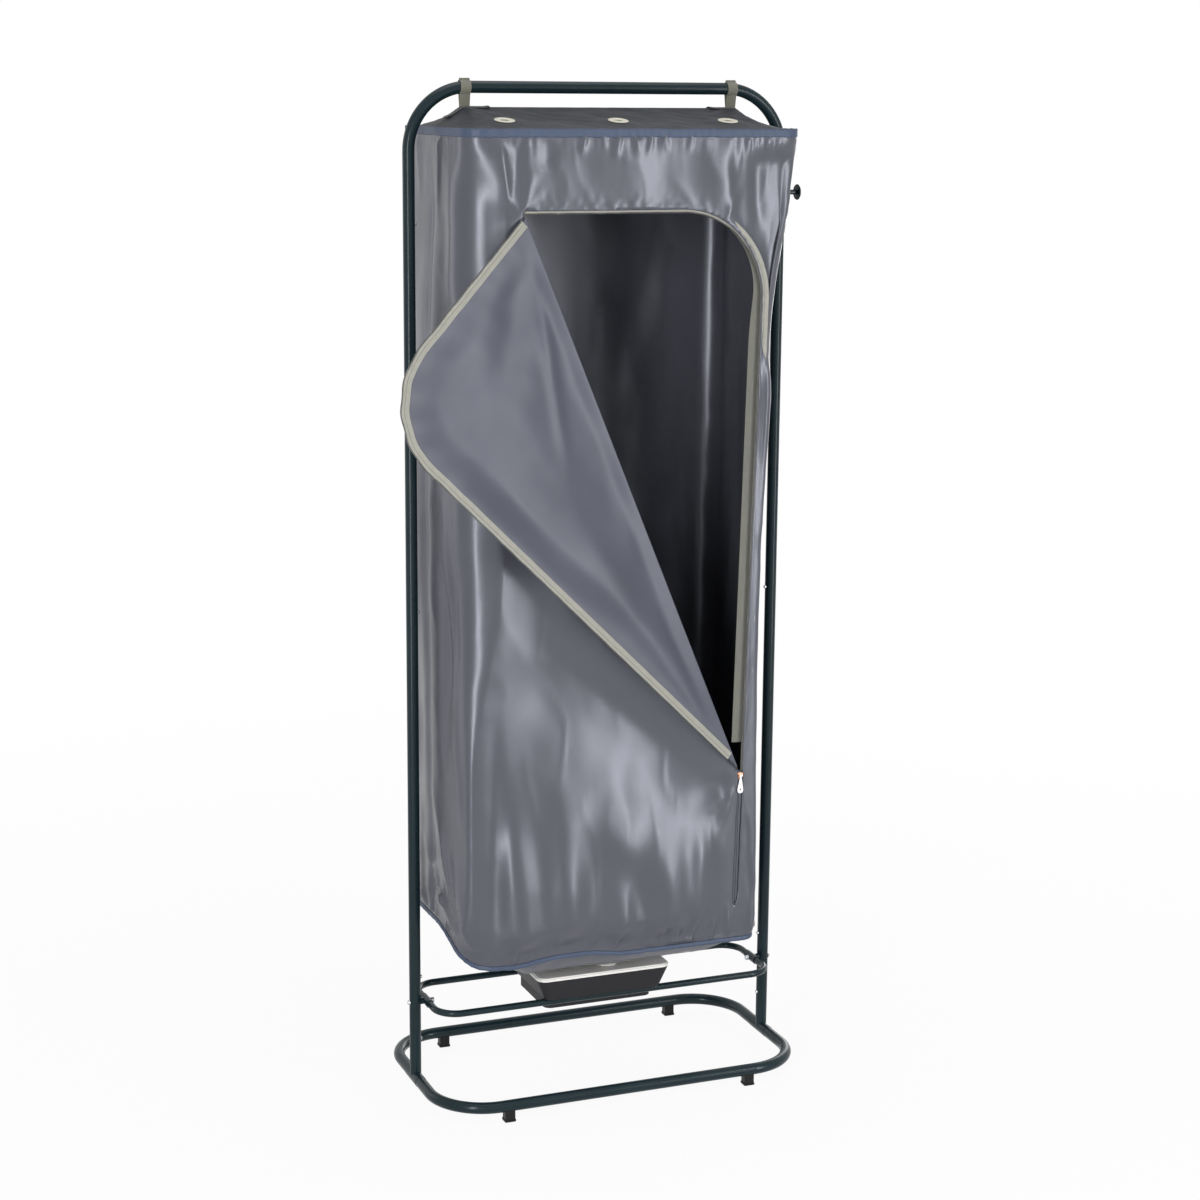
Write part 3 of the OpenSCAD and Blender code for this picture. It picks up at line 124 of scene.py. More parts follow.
# The heater's place under the bag
COLLAR_LOW, COLLAR_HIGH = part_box("outlet_grille")
HEATER_X = (COLLAR_LOW.x + COLLAR_HIGH.x) / 2
COLLAR_Y = (COLLAR_LOW.y + COLLAR_HIGH.y) / 2
FLOOR_RIM_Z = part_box("bag_floor")[0].z
FLOOR_HOLE_R = 56 * MM

# Finishes of the cloths, tapes and threads by name, filled by cloth_finishes
CLOTH = {}


def smooth(t):
    """Runs smoothly from 0 to 1 as t does."""
    t = np.clip(t, 0, 1)
    return t * t * (3 - 2 * t)


def hem_at(x, y):
    """Height of the hem: it rises to the back, and dips at the front's left and over its right half."""
    dip = 9 * MM * np.exp(-((x + 0.215) / 0.050) ** 2) + 9 * MM * smooth((x + 0.090) / 0.090)
    front = 1 - smooth((y - FRONT_Y) / 0.060)
    return HEM_Z + HEM_LIFT * smooth((y - FRONT_Y) / HALF_D) - dip * front


def zip_x(z):
    """The zip line's x down the door's right side, which leans a little."""
    return DOOR_RIGHT - (CORNER_Z - z) * DOOR_LEAN


# The door's crease, from the zip's left end to the slider, in x and z
CREASE_START = np.array([DOOR_LEFT, DOOR_TOP])
CREASE_END = np.array([zip_x(SLIDER_Z), SLIDER_Z])
CREASE_LENGTH = np.linalg.norm(CREASE_END - CREASE_START)
CREASE_ALONG = (CREASE_END - CREASE_START) / CREASE_LENGTH
CREASE_OFF = np.array([-CREASE_ALONG[1], CREASE_ALONG[0]])


def front_right_x(z):
    """The right end of the front, which narrows from the top down."""
    return (HALF_W - 50 * MM * smooth((BAG_TOP - z) / 0.360)
            - 8 * MM * smooth((BAG_TOP - 0.307 - z) / 0.500))


def front_right_r(z):
    """Radius of the front right corner, small below the top edge and wider again at the hem."""
    top = CORNER_R - (CORNER_R - LOOSE_R) * smooth((BAG_TOP - 0.045 - z) / 0.150)
    return top + 16 * MM * (1 - smooth((z - HEM_Z + 0.010) / 0.050))


def front_left_r(z):
    """Radius of the front left corner, which is drawn to a soft crease above the hem."""
    loose = 30 * MM * smooth((BAG_TOP - 0.012 - z) / 0.085) * smooth((z - 0.62) / 0.40)
    drawn = 22 * MM * smooth((0.90 - z) / 0.30) * smooth((z - HEM_Z - 0.010) / 0.080)
    return CORNER_R + loose - drawn + 30 * MM * (1 - smooth((z - HEM_Z) / 0.085))


def main_fold(z, hem, s, depth):
    """Height of the main soft folds that rise from the hem and end below the slider."""
    rise = smooth((SLIDER_Z - 0.030 - z) / 0.230) * smooth((z - hem - BINDING_H) / 0.040)
    return depth * rise * (0.5 - 0.5 * np.cos(2 * math.pi * s / 0.088))


def ripple(points, wavelength, seed, stretch=(1, 1, 1), waves=22):
    """A smooth random field of about -1 to 1 over an array of points."""
    source = np.random.default_rng(seed)
    direction = source.normal(size=(waves, 3))
    direction /= np.linalg.norm(direction, axis=1)[:, None]
    number = 2 * math.pi / wavelength * source.uniform(0.55, 1.5, waves)
    phase = source.uniform(0, 2 * math.pi, waves)
    angle = (points * np.array(stretch)) @ (direction * number[:, None]).T + phase
    return np.cos(angle).sum(-1) / math.sqrt(waves / 2) * 0.6


def pleats(a, z, folds):
    """Height of listed folds, each (a0, z0, a1, z1, width, height, spread) in millimetres.

    A fold runs from its first to its second point. With spread 1 it starts narrow and fades as it
    widens, as a pull from a fixed point does, and with spread 0 it swells in its middle. An eighth
    value leans it: above 0 its right hand flank is the wider one.
    """
    total = np.zeros_like(a)
    for a0, z0, a1, z1, width, height, spread, *lean in folds:
        da, dz = (a1 - a0) * MM, (z1 - z0) * MM
        length = math.hypot(da, dz)
        along = ((a - a0 * MM) * da + (z - z0 * MM) * dz) / length ** 2
        across = ((a - a0 * MM) * dz - (z - z0 * MM) * da) / length
        tilt = lean[0] if lean else 0
        wide = width * MM * (1 - spread * (0.65 - 0.65 * np.clip(along, 0, 1)))
        wide = wide * np.where(across > 0, 1 + tilt, 1 - tilt)
        start = smooth(along / (0.06 if spread else 0.35))
        fade = smooth((1 - along) / (0.9 if spread else 0.35))
        total += height * MM * np.exp(-(across / wide) ** 2) * start * fade
    return total


# Folds of the front, over x and z
FRONT_FOLDS = [
    (-240, 1656, -222, 1532, 14, 6.5, 0, 0.5), (-207, 1648, -208, 1560, 10, -3.5, 0),
    (-252, 1600, -240, 1400, 15, -5, 0), (-200, 1530, -176, 1612, 9, 3.2, 1),
    (-204, 1526, -246, 1496, 8, 2.6, 1), (-203, 1530, -236, 1566, 7, 2.4, 1),
    (-196, 1538, -146, 1584, 10, 2.4, 1), (-150, 1652, -158, 1590, 12, -2, 0),
    (-94, 1652, -100, 1616, 7, 3.0, 1), (-62, 1652, -58, 1622, 6, 2.6, 1),
    (-34, 1652, -42, 1606, 8, 3.2, 1), (-8, 1652, -2, 1620, 6, 2.6, 1), (22, 1652, 14, 1608, 7, 3.0, 1),
    (44, 1652, 52, 1618, 7, 2.6, 1), (92, 1652, 86, 1616, 6, 2.2, 1),
    (150, 1650, 168, 1430, 26, 6, 0, 0.4), (214, 1640, 220, 1480, 15, -4, 0),
    (150, 1505, 196, 1590, 10, 2.6, 1), (236, 1500, 240, 1300, 10, -2.5, 0),
    (100, 1540, 40, 1600, 14, 1.5, 1), (-246, 1080, -130, 800, 50, -8, 0, 0.2),
    (-226, 872, 206, 506, 84, -20, 0, 0.5), (-110, 590, 128, 300, 60, 8, 0, -0.2),
    (-66, 470, 70, 318, 36, -6, 0), (-132, 296, -126, 610, 32, 8.0, 0, 0.2),
    (-230, 296, -214, 580, 18, 4.8, 0, 0.3), (-252, 300, -246, 740, 12, -3.5, 0),
    (-264, 1180, -250, 760, 14, -3, 0), (112, 300, 134, 500, 34, 6, 0, 0.4),
    (-74, 286, -62, 390, 14, 4.5, 1), (-30, 280, -14, 372, 12, 4.5, 1), (32, 276, 44, 352, 12, 4.5, 1),
    (72, 276, 90, 330, 10, 3.6, 1), (104, 276, 132, 366, 13, 5, 1), (150, 276, 164, 350, 11, 4.5, 1),
    (184, 280, 180, 360, 10, 4, 1), (190, 558, 92, 536, 9, -5, 1), (190, 550, 112, 492, 10, 4, 1),
    (192, 545, 146, 446, 11, 4, 1), (190, 564, 100, 594, 10, 3.6, 1), (206, 548, 228, 420, 6, 3.2, 1),
    (210, 540, 226, 330, 6, -2.6, 0), (214, 470, 236, 340, 6, 2.8, 0),
]
# Folds of the left and right sides and of the back, over y and z, or x and z
LEFT_FOLDS = [
    (-166, 300, -96, 520, 34, 8, 1), (-60, 350, 96, 500, 16, 6, 1), (-130, 310, 20, 640, 22, 5, 1),
    (-66, 1110, -150, 470, 8, 4, 0), (60, 320, 96, 640, 26, 6, 1), (10, 318, -4, 500, 15, -5, 1),
    (120, 330, 60, 780, 30, -6, 0), (-100, 1646, -112, 1330, 26, 5, 0), (-40, 1646, -30, 1460, 16, 4, 1),
    (70, 1646, 60, 1520, 15, 3.5, 1), (-110, 1000, -80, 560, 28, -6, 0), (50, 1240, 84, 760, 38, 6, 0),
    (-140, 1240, -130, 920, 18, 3, 0), (-60, 1320, -40, 1040, 22, 4, 0),
]
RIGHT_FOLDS = [
    (-140, 310, -60, 640, 22, 5, 1), (-80, 312, 0, 560, 18, 4, 1), (20, 318, 50, 620, 22, 5, 1),
    (110, 330, 70, 600, 20, 4, 1), (-100, 1646, -60, 1300, 26, 5, 0), (40, 1646, 20, 1420, 20, 4, 1),
    (90, 1300, 40, 860, 34, 5, 0), (-60, 1100, -100, 700, 28, -5, 0), (60, 1000, 110, 560, 28, -5, 0),
]
BACK_FOLDS = [
    (-230, 320, -180, 700, 24, 5, 1), (-120, 318, -90, 640, 22, 6, 1), (-20, 318, -40, 560, 20, 4, 1),
    (70, 318, 90, 700, 24, 6, 1), (180, 320, 150, 620, 24, 5, 1), (-220, 1648, -140, 1250, 34, 5, 0),
    (200, 1648, 120, 1200, 36, 6, 0), (-60, 1648, -50, 1480, 15, 3, 1), (40, 1648, 44, 1500, 13, 3, 1),
    (-160, 1150, 60, 780, 52, 7, 0), (180, 1050, 40, 640, 46, -6, 0),
]


def wall_sides(base, outward):
    """How far each point belongs to the front, back, left and right, each from 0 to 1."""
    front = smooth((-base[..., 1] - HALF_D + 0.020) / 0.018)
    back = smooth((base[..., 1] - HALF_D + 0.030) / 0.025)
    left = smooth((-outward[..., 0] - 0.5) / 0.4)
    right = smooth((outward[..., 0] - 0.5) / 0.4)
    return front, back, left, right


def placed_folds(base, hem, sides):
    """The main folds that rise from the hem, and each side's listed folds."""
    x, y, z = base[..., 0], base[..., 1], base[..., 2]
    front, back, left, right = sides
    front_edge = smooth((zip_x(z) - 0.025 - x) / 0.060) * smooth((x + HALF_W - CORNER_R) / 0.040)
    side_edge = smooth((SIDE_Y - np.abs(y)) / 0.040)
    back_edge = smooth((HALF_W - CORNER_R - np.abs(x)) / 0.040)
    relief = front * main_fold(z, hem, x + 0.075, 8 * MM) * front_edge
    relief += (left + right) * main_fold(z, hem, y + 0.020, 5.6 * MM) * side_edge
    relief += back * main_fold(z, hem, x, 4.8 * MM) * back_edge
    relief += front * pleats(x, z, FRONT_FOLDS) + back * pleats(x, z, BACK_FOLDS)
    relief += left * pleats(y, z, LEFT_FOLDS) + right * pleats(y, z, RIGHT_FOLDS)
    return relief


def front_fullness(base, outward, above, front):
    """Broad forms: the front's swell over the hem, its flattened left corner, its drawn right."""
    x, z = base[..., 0], base[..., 2]
    swell = smooth((0.66 - z) / 0.35) * smooth(above / 0.060)
    relief = front * swell * 23 * MM * smooth((x + 0.275) / 0.09) * smooth((0.186 - x) / 0.11)
    turned = np.arctan2(-outward[..., 0], -outward[..., 1])
    flattened = smooth((z - 0.60) / 0.30) * smooth((BAG_TOP - 0.030 - z) / 0.060)
    relief -= 1.6 * MM * flattened * np.exp(-((turned - 0.52) / 0.22) ** 2)
    drawn = smooth((z - 1.22) / 0.14) * smooth((BAG_TOP - 0.012 - z) / 0.050)
    return relief - front * drawn * 15 * MM * smooth((x - 0.095) / 0.150)


def small_creases(base, body):
    """Unevenness between the folds: broad waves, finer ones, and sharp creases."""
    relief = 2.6 * MM * ripple(base, 0.230, 3, (1, 1, 0.45))
    relief += 0.6 * MM * ripple(base, 0.070, 4, (1, 1, 0.5))
    crease = 1 - np.abs(ripple(base, 0.120, 5, (1, 1, 0.7)))
    return body * (relief + 0.7 * MM * np.clip(crease, 0, 1) ** 4)


def gathers(base, above, below):
    """Gathers close to the hem, in patches, and tucks below the top edge."""
    patch = smooth(0.9 * ripple(base, 0.150, 6, (1, 1, 0.1)) + 0.55)
    gather = np.abs(ripple(base, 0.034, 7, (1, 1, 0.20)))
    near_hem = smooth(above / 0.005) * np.exp(-np.clip(above, 0, None) / 0.024)
    tuck = np.abs(ripple(base, 0.026, 8, (1, 1, 0.12)))
    near_top = smooth(below / 0.006) * np.exp(-np.clip(below, 0, None) / 0.018)
    return near_hem * (9 * MM * gather * patch - 1 * MM) + near_top * 2 * MM * tuck


def wall_relief(base, outward, hem):
    """How far the cloth of the walls stands proud of its plain shape, over an array of points."""
    above, below = base[..., 2] - hem - 6 * MM, BAG_TOP - 9 * MM - base[..., 2]
    body = smooth(above / 0.05) * smooth(below / 0.04)
    sides = wall_sides(base, outward)
    return (placed_folds(base, hem, sides) + front_fullness(base, outward, above, sides[0])
            + small_creases(base, body) + gathers(base, above, below))


def on_front(flat, y=0.0):
    """Points in space from points of x and z, at a given y."""
    return np.stack([flat[..., 0], y + 0 * flat[..., 0], flat[..., 1]], -1)


def door_relief(flat, relief):
    """The relief round the door: calm beside the opening, with puckers and a folded edge."""
    z = flat[..., 1]
    away = door_distance(flat)
    pucker = np.abs(ripple(on_front(flat), 0.020, 9))
    edge = smooth((away + 2 * MM) / 0.004) * np.exp(-np.clip(away, 0, None) / 0.014)
    bead = np.exp(-((away - 1.6 * MM) / (1.8 * MM)) ** 2)
    top = smooth((z - DOOR_TOP + 0.05) / 0.05)
    calm = 1 - np.exp(-np.clip(away, 0, None) / 0.012)
    return relief * calm + edge * (0.7 + 1.2 * top) * MM * pucker + 0.5 * MM * bead


def zip_path(out, low, steps=26, side_out=None):
    """The zip line from its left end round the corner and down, moved outwards, in x and z.

    side_out is how far it is moved down the door's side, where that differs from the top.
    """
    side_out = out if side_out is None else side_out
    points = [(DOOR_LEFT, DOOR_TOP + out)]
    for i in range(steps + 1):
        a = math.pi / 2 * (1 - i / steps)
        reach = DOOR_R + out + (side_out - out) * smooth(i / steps)
        points.append((CORNER_X + reach * math.cos(a), CORNER_Z + reach * math.sin(a)))
    points.append((zip_x(low) + side_out, low))
    return np.array(points)


def side_of_crease(points):
    """How far points of x and z lie off the door's crease, above 0 on the flap's side."""
    return (points - CREASE_START) @ CREASE_OFF


def opening_outline():
    """The opening's outline: the zip line moved out, the slit of the closed zip, and the crease."""
    path = [p for p in zip_path(DOOR_EDGE, OPEN_ZIP_LOW, side_out=SIDE_EDGE) if side_of_crease(p) > 0]
    slit_top, slit_tip = SLIDER_Z + 8 * MM, ZIP_END - 12 * MM
    slit = [(zip_x(z) + side * SLIT_EDGE * wide, z) for z, side, wide in (
        (slit_top, 1, 1), (ZIP_END, 1, 1), (slit_tip, 1, 0.25),
        (slit_tip, -1, 0.25), (ZIP_END, -1, 1), (slit_top, -1, 1))]
    slit = [p for p in slit if side_of_crease(np.array(p)) > 0 or p[1] < slit_top]
    crossing = CREASE_START + CREASE_ALONG * (CREASE_LENGTH - (8 * MM) / abs(CREASE_ALONG[1]))
    return np.array([tuple(CREASE_START)] + [tuple(p) for p in path] + slit + [tuple(crossing)])


OPENING = opening_outline()


def nearest_on(points, outline):
    """The nearest point of a closed outline to each point, and the distance to it."""
    ends = np.roll(outline, -1, 0)
    best = np.full(len(points), 1e9)
    where = np.zeros_like(points)
    for a, b in zip(outline, ends):
        span = b - a
        if span @ span < 1e-14:
            continue
        t = np.clip((points - a) @ span / (span @ span), 0, 1)
        spot = a + t[:, None] * span
        distance = np.linalg.norm(points - spot, axis=1)
        closer = distance < best
        best[closer], where[closer] = distance[closer], spot[closer]
    return where, best


def inside_of(points, outline):
    """True where a point lies inside a closed outline."""
    inside = np.zeros(len(points), bool)
    for a, b in zip(outline, np.roll(outline, -1, 0)):
        crosses = (a[1] > points[:, 1]) != (b[1] > points[:, 1])
        with np.errstate(divide="ignore", invalid="ignore"):
            x = (b[0] - a[0]) * (points[:, 1] - a[1]) / (b[1] - a[1]) + a[0]
        inside ^= crosses & (points[:, 0] < x)
    return inside


def door_distance(flat):
    """Distance from points of x and z to the opening's edge, below 0 inside the opening."""
    points = flat.reshape(-1, 2)
    _, distance = nearest_on(points, OPENING)
    distance[inside_of(points, OPENING)] *= -1
    return distance.reshape(flat.shape[:-1])


def distance_to_zip(points):
    """Distance from points of x and z to the zip line."""
    there, back = zip_path(0, ZIP_END), zip_path(1 * MM, ZIP_END)[::-1]
    return nearest_on(points, np.concatenate([there, back]))[1]


def fit_to_outline(flat, outline, corners=()):
    """Moves the points of a grid that lie beside an outline onto it.

    flat is rows x columns x 2. The result says of each point whether it is inside (1), outside (0)
    or on the outline (2), and the grid has moved points.
    """
    rows, columns = flat.shape[:2]
    points = flat.reshape(-1, 2)
    spot, distance = nearest_on(points, outline)
    inside = inside_of(points, outline)
    state = inside.astype(int).reshape(rows, columns)
    distance = distance.reshape(rows, columns)
    mark = np.zeros((rows, columns), bool)
    for a, b in ((np.s_[:-1], np.s_[1:]), (np.s_[:, :-1], np.s_[:, 1:])):
        crossing = state[a] != state[b]
        mark[a] |= crossing & (distance[a] <= distance[b])
        mark[b] |= crossing & (distance[b] < distance[a])
    state[mark] = 2
    moved = flat.copy()
    moved[mark] = spot.reshape(rows, columns, 2)[mark]
    for corner in corners:
        gap = np.linalg.norm(moved - np.array(corner), axis=2)
        gap[~mark] = 1e9
        moved[np.unravel_index(np.argmin(gap), gap.shape)] = corner
    return moved, state


def grid_faces(rows, columns):
    """Faces of a grid of points, by their numbers."""
    return [[i * columns + j, i * columns + j + 1, (i + 1) * columns + j + 1, (i + 1) * columns + j]
            for i in range(rows - 1) for j in range(columns - 1)]


def split_quad(quad, kinds):
    """A quad as it is, or as two triangles where an outline runs over its diagonal."""
    a, b, c, d = quad
    on_outline = [kind == 2 for kind in kinds]
    if on_outline == [True, False, True, False]:
        return [[a, b, c], [a, c, d]]
    if on_outline == [False, True, False, True]:
        return [[b, c, d], [b, d, a]]
    return [quad]


def cut_faces(state, flat, outline, keep_inside):
    """Faces of a grid on one side of an outline, for the points and states of fit_to_outline."""
    rows, columns = state.shape
    state, flat = state.ravel(), flat.reshape(-1, 2)
    faces = []
    for quad in grid_faces(rows, columns):
        for piece in split_quad(quad, state[quad]):
            own = set(state[piece].tolist()) - {2}
            if own:
                inside = own == {1}
            else:
                inside = bool(inside_of(flat[piece].mean(0)[None], outline)[0])
            if inside == keep_inside:
                faces.append(piece)
    return faces


def clear_selection():
    if bpy.context.object and bpy.context.object.mode != "OBJECT":
        bpy.ops.object.mode_set(mode="OBJECT")
    bpy.ops.object.select_all(action="DESELECT")


def make_active(piece):
    clear_selection()
    piece.select_set(True)
    bpy.context.view_layer.objects.active = piece


def mesh_piece(name, points, faces, uv=None):
    """A new object from an array of points and their faces, with uv given for each point."""
    points = np.asarray(points, float).reshape(-1, 3)
    mesh = bpy.data.meshes.new(name)
    mesh.from_pydata(points.tolist(), [], faces)
    if uv is not None:
        corner = np.zeros(len(mesh.loops), np.int32)
        mesh.loops.foreach_get("vertex_index", corner)
        layer = mesh.uv_layers.new(name="Weave")
        places = np.asarray(uv, float).reshape(-1, 2)[corner]
        layer.data.foreach_set("uv", places.astype(np.float32).ravel())
    mesh.update()
    piece = bpy.data.objects.new(name, mesh)
    bpy.context.scene.collection.objects.link(piece)
    make_active(piece)
    return piece


def apply_modifier(piece, kind, **settings):
    make_active(piece)
    modifier = piece.modifiers.new(kind.title(), kind)
    for key, value in settings.items():
        setattr(modifier, key, value)
    bpy.ops.object.modifier_apply(modifier=modifier.name)


def merge_doubles(piece):
    """Drops loose points and joins points that lie on each other."""
    make_active(piece)
    bpy.ops.object.mode_set(mode="EDIT")
    bpy.ops.mesh.select_all(action="SELECT")
    bpy.ops.mesh.delete_loose()
    bpy.ops.mesh.select_all(action="SELECT")
    bpy.ops.mesh.remove_doubles(threshold=1e-6)
    bpy.ops.object.mode_set(mode="OBJECT")


def point_outwards(piece):
    """Recalculates the normals of a closed piece."""
    make_active(piece)
    bpy.ops.object.mode_set(mode="EDIT")
    bpy.ops.mesh.select_all(action="SELECT")
    bpy.ops.mesh.normals_make_consistent(inside=False)
    bpy.ops.object.mode_set(mode="OBJECT")


def shade(piece, angle=None):
    make_active(piece)
    if angle is None:
        bpy.ops.object.shade_smooth()
    else:
        bpy.ops.object.shade_smooth_by_angle(angle=math.radians(angle))


def thicken(piece, thickness, inner=0, offset=-1):
    """Gives a sheet its thickness. inner is the material of its other face, offset where it lies."""
    apply_modifier(piece, "SOLIDIFY", thickness=thickness, offset=offset, use_rim=True,
                   use_even_offset=False, material_offset=inner)


def join(pieces):
    """Joins pieces into the first of them."""
    make_active(pieces[0])
    for piece in pieces:
        piece.select_set(True)
    bpy.ops.object.join()
    return pieces[0]


def finish_piece(piece, materials, body, replaces=()):
    """Gives a piece its materials, its body and the nodes that it stands for."""
    for material in materials:
        piece.data.materials.append(material)
    if body:
        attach(piece, body)
    if replaces:
        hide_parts(*replaces)


def unit_rows(array):
    return array / np.maximum(np.linalg.norm(array, axis=-1, keepdims=True), 1e-12)


def arc_lengths(line):
    steps = np.linalg.norm(np.diff(line, axis=0), axis=1)
    return np.concatenate([[0], np.cumsum(steps)])


def along_path(line, distances, values=None):
    """Points of a line, or values that are given along it, at the given distances."""
    values = line if values is None else values
    lengths = arc_lengths(line)
    return np.stack([np.interp(distances, lengths, values[:, k]) for k in range(values.shape[1])], -1)


def closed_ring(array, axis=0):
    """An array that ends with its first row, or column, again."""
    return np.concatenate([array, np.take(array, [0], axis)], axis)


def spread_uv(u, v, shape):
    """Places in the weave for each point of a grid."""
    return np.stack([np.broadcast_to(u, shape), np.broadcast_to(v, shape)], -1)


def tube_faces(stations, ring, closed_path=False):
    """Faces of an open or closed tube of rings of points, in the order of its stations."""
    faces = []
    for i in range(stations if closed_path else stations - 1):
        k = (i + 1) % stations
        for j in range(ring):
            m = (j + 1) % ring
            faces.append([i * ring + j, i * ring + m, k * ring + m, k * ring + j])
    return faces


class Signal:
    """An output in a node tree. Python's operators on it add Math nodes."""

    def __init__(self, shading, socket):
        self.shading, self.socket = shading, socket

    def output(self, name):
        """Another output of the same node."""
        return Signal(self.shading, self.socket.node.outputs[name])

    def maths(self, operation, *values):
        return self.shading.node("ShaderNodeMath", {"operation": operation}, dict(enumerate(values)))

    def __add__(self, other):
        return self.maths("ADD", self, other)

    def __radd__(self, other):
        return self.maths("ADD", other, self)

    def __sub__(self, other):
        return self.maths("SUBTRACT", self, other)

    def __rsub__(self, other):
        return self.maths("SUBTRACT", other, self)

    def __mul__(self, other):
        return self.maths("MULTIPLY", self, other)

    def __rmul__(self, other):
        return self.maths("MULTIPLY", other, self)

    def sine(self):
        return self.maths("SINE", self)

    def size(self):
        return self.maths("ABSOLUTE", self)

    def clamped(self):
        return self.shading.node("ShaderNodeClamp", {}, {"Value": self})


class Shading:
    """A node tree in the making. Its nodes are added by its node method."""

    def __init__(self, tree):
        self.tree = tree

    def feed(self, node, inputs):
        """Gives a node's inputs their links or values."""
        for key, value in inputs.items():
            socket = node.inputs[key]
            if isinstance(value, Signal):
                self.tree.links.new(value.socket, socket)
            elif hasattr(value, "__len__") and len(value) == 3 and len(socket.default_value) == 4:
                socket.default_value = (*value, 1)
            else:
                socket.default_value = value

    def node(self, kind, settings=None, inputs=None, output=0):
        """Adds a node: its settings come first, then the values and links of its inputs."""
        node = self.tree.nodes.new(kind)
        for key, value in (settings or {}).items():
            setattr(node, key, value)
        self.feed(node, inputs or {})
        return Signal(self, node.outputs[output])

    def seen_plainly(self):
        """1 for rays from the camera, from a reflection or through glass, and 0 for light."""
        camera = self.node("ShaderNodeLightPath", output="Is Camera Ray")
        return (camera + camera.output("Is Glossy Ray") + camera.output("Is Transmission Ray")).clamped()

    def close(self, end, amount, first, second):
        """Mixes two shaders by an amount and links them to the tree's end."""
        mixed = self.node("ShaderNodeMixShader", {}, {0: amount, 1: first, 2: second})
        self.feed(self.tree.nodes[end], {"Surface": mixed})


class Finish(Shading):
    """A material in the making, on the Principled shader."""

    def __init__(self, name, **constants):
        self.material = bpy.data.materials.new(name)
        self.material.use_nodes = True
        super().__init__(self.material.node_tree)
        self.shader = self.tree.nodes["Principled BSDF"]
        self.surface(**constants)

    def surface(self, **inputs):
        """Feeds the shader's sockets, named with _ for a space."""
        self.feed(self.shader, {key.replace("_", " "): value for key, value in inputs.items()})
        return self.material

    def place(self):
        return self.node("ShaderNodeTexCoord", output="Object")

    def cloth_place(self):
        return self.node("ShaderNodeUVMap", {"uv_map": "Weave"})

    def stretched(self, vector, scale):
        return self.node("ShaderNodeMapping", {}, {"Vector": vector, "Scale": scale})

    def noise(self, vector, scale, detail=2, roughness=0.5):
        return self.node("ShaderNodeTexNoise", {}, {
            "Vector": vector, "Scale": scale, "Detail": detail, "Roughness": roughness})

    def parts(self, vector):
        """The three parts of a vector."""
        split = self.node("ShaderNodeSeparateXYZ", {}, {"Vector": vector})
        return [split.output(axis) for axis in "XYZ"]

    def blend(self, amount, first, second):
        """A mix of two colours by an amount from 0 to 1."""
        return self.node("ShaderNodeMix", {"data_type": "RGBA"}, {0: amount, 6: first, 7: second}, 2)

    def bump(self, height, distance, strength=1.0):
        return self.node("ShaderNodeBump", {}, {
            "Height": height, "Distance": distance, "Strength": strength})


def tone(colour, factor):
    return tuple(channel * factor for channel in colour)


def woven(finish, place, pitch):
    """Height of a plain weave over the cloth's own coordinates, from 0 to 1."""
    u, v, _ = finish.parts(place)
    turns = math.pi / pitch
    return (u * turns).sine().size() * 0.5 + (v * turns).sine().size() * 0.5


def cloth_finish(name, colour, roughness, pitch, specular, bump_mm, metallic=0.0):
    """Closely woven nylon: satin, with a fine square weave and a faint slub."""
    finish = Finish(name, Specular_IOR_Level=specular, Metallic=metallic)
    place = finish.cloth_place()
    body = finish.place()
    weave = woven(finish, place, pitch)
    cloud = finish.noise(body, 5.5, 3, 0.55)
    slub = finish.noise(finish.stretched(place, (60, 900, 1)), 1.0, 2, 0.6)
    shade_in = (cloud * 0.55 + slub * 0.25 + weave * 0.2).clamped()
    paint = finish.blend(shade_in, tone(colour, 0.80), tone(colour, 1.20))
    sheen_map = finish.noise(body, 14, 2, 0.5)
    height = weave * 0.7 + slub * 0.3
    normal = finish.bump(height, bump_mm * MM, 0.55)
    return finish.surface(Base_Color=paint, Normal=normal,
                          Roughness=sheen_map * 0.10 + (roughness - 0.05))


def webbing_finish(name, colour, pitch, groove_shade_at=None):
    """Woven tape with slanting ribs, and, where its last argument says, a dark line of painted shade along
    its groove.
    """
    finish = Finish(name, Sheen_Weight=0.2, Specular_IOR_Level=0.35)
    place = finish.cloth_place()
    u, v, _ = finish.parts(place)
    lean = (u * (math.pi / pitch) + (v * (math.pi / pitch)).sine() * 0.9).sine().size()
    rib = (v * (math.pi / (pitch * 1.3))).sine().size()
    height = lean * 0.5 + rib * 0.5
    cloud = finish.noise(place, 90, 2)
    shade_in = (height * 0.6 + cloud * 0.4).clamped()
    paint = finish.blend(shade_in, tone(colour, 0.62), tone(colour, 1.25))
    # Painted shade: the tape's colour is darkened along the line of its groove
    if groove_shade_at:
        groove_shade = (1 - (v - groove_shade_at).size() * 1100).clamped()
        paint = finish.blend(groove_shade * 0.7, paint, tone(colour, 0.25))
    return finish.surface(Base_Color=paint, Roughness=cloud * 0.15 + 0.66,
                          Normal=finish.bump(height, 0.35 * MM, 0.8))


def paint_finish(colour):
    """Powder coat on steel tube: a deep slate green with a hard gloss and a fine orange peel."""
    finish = Finish("frame_paint", Coat_Roughness=0.12, Specular_IOR_Level=0.14)
    place = finish.place()
    peel = finish.noise(place, 620, 2, 0.5)
    cloud = finish.noise(place, 9, 3, 0.6)
    paint = finish.blend(cloud, tone(colour, 0.78), tone(colour, 1.28))
    return finish.surface(Base_Color=paint, Roughness=cloud * 0.12 + 0.22,
                          Coat_Weight=cloud * 0.16 + 0.04, Normal=finish.bump(peel, 0.05 * MM, 0.35))


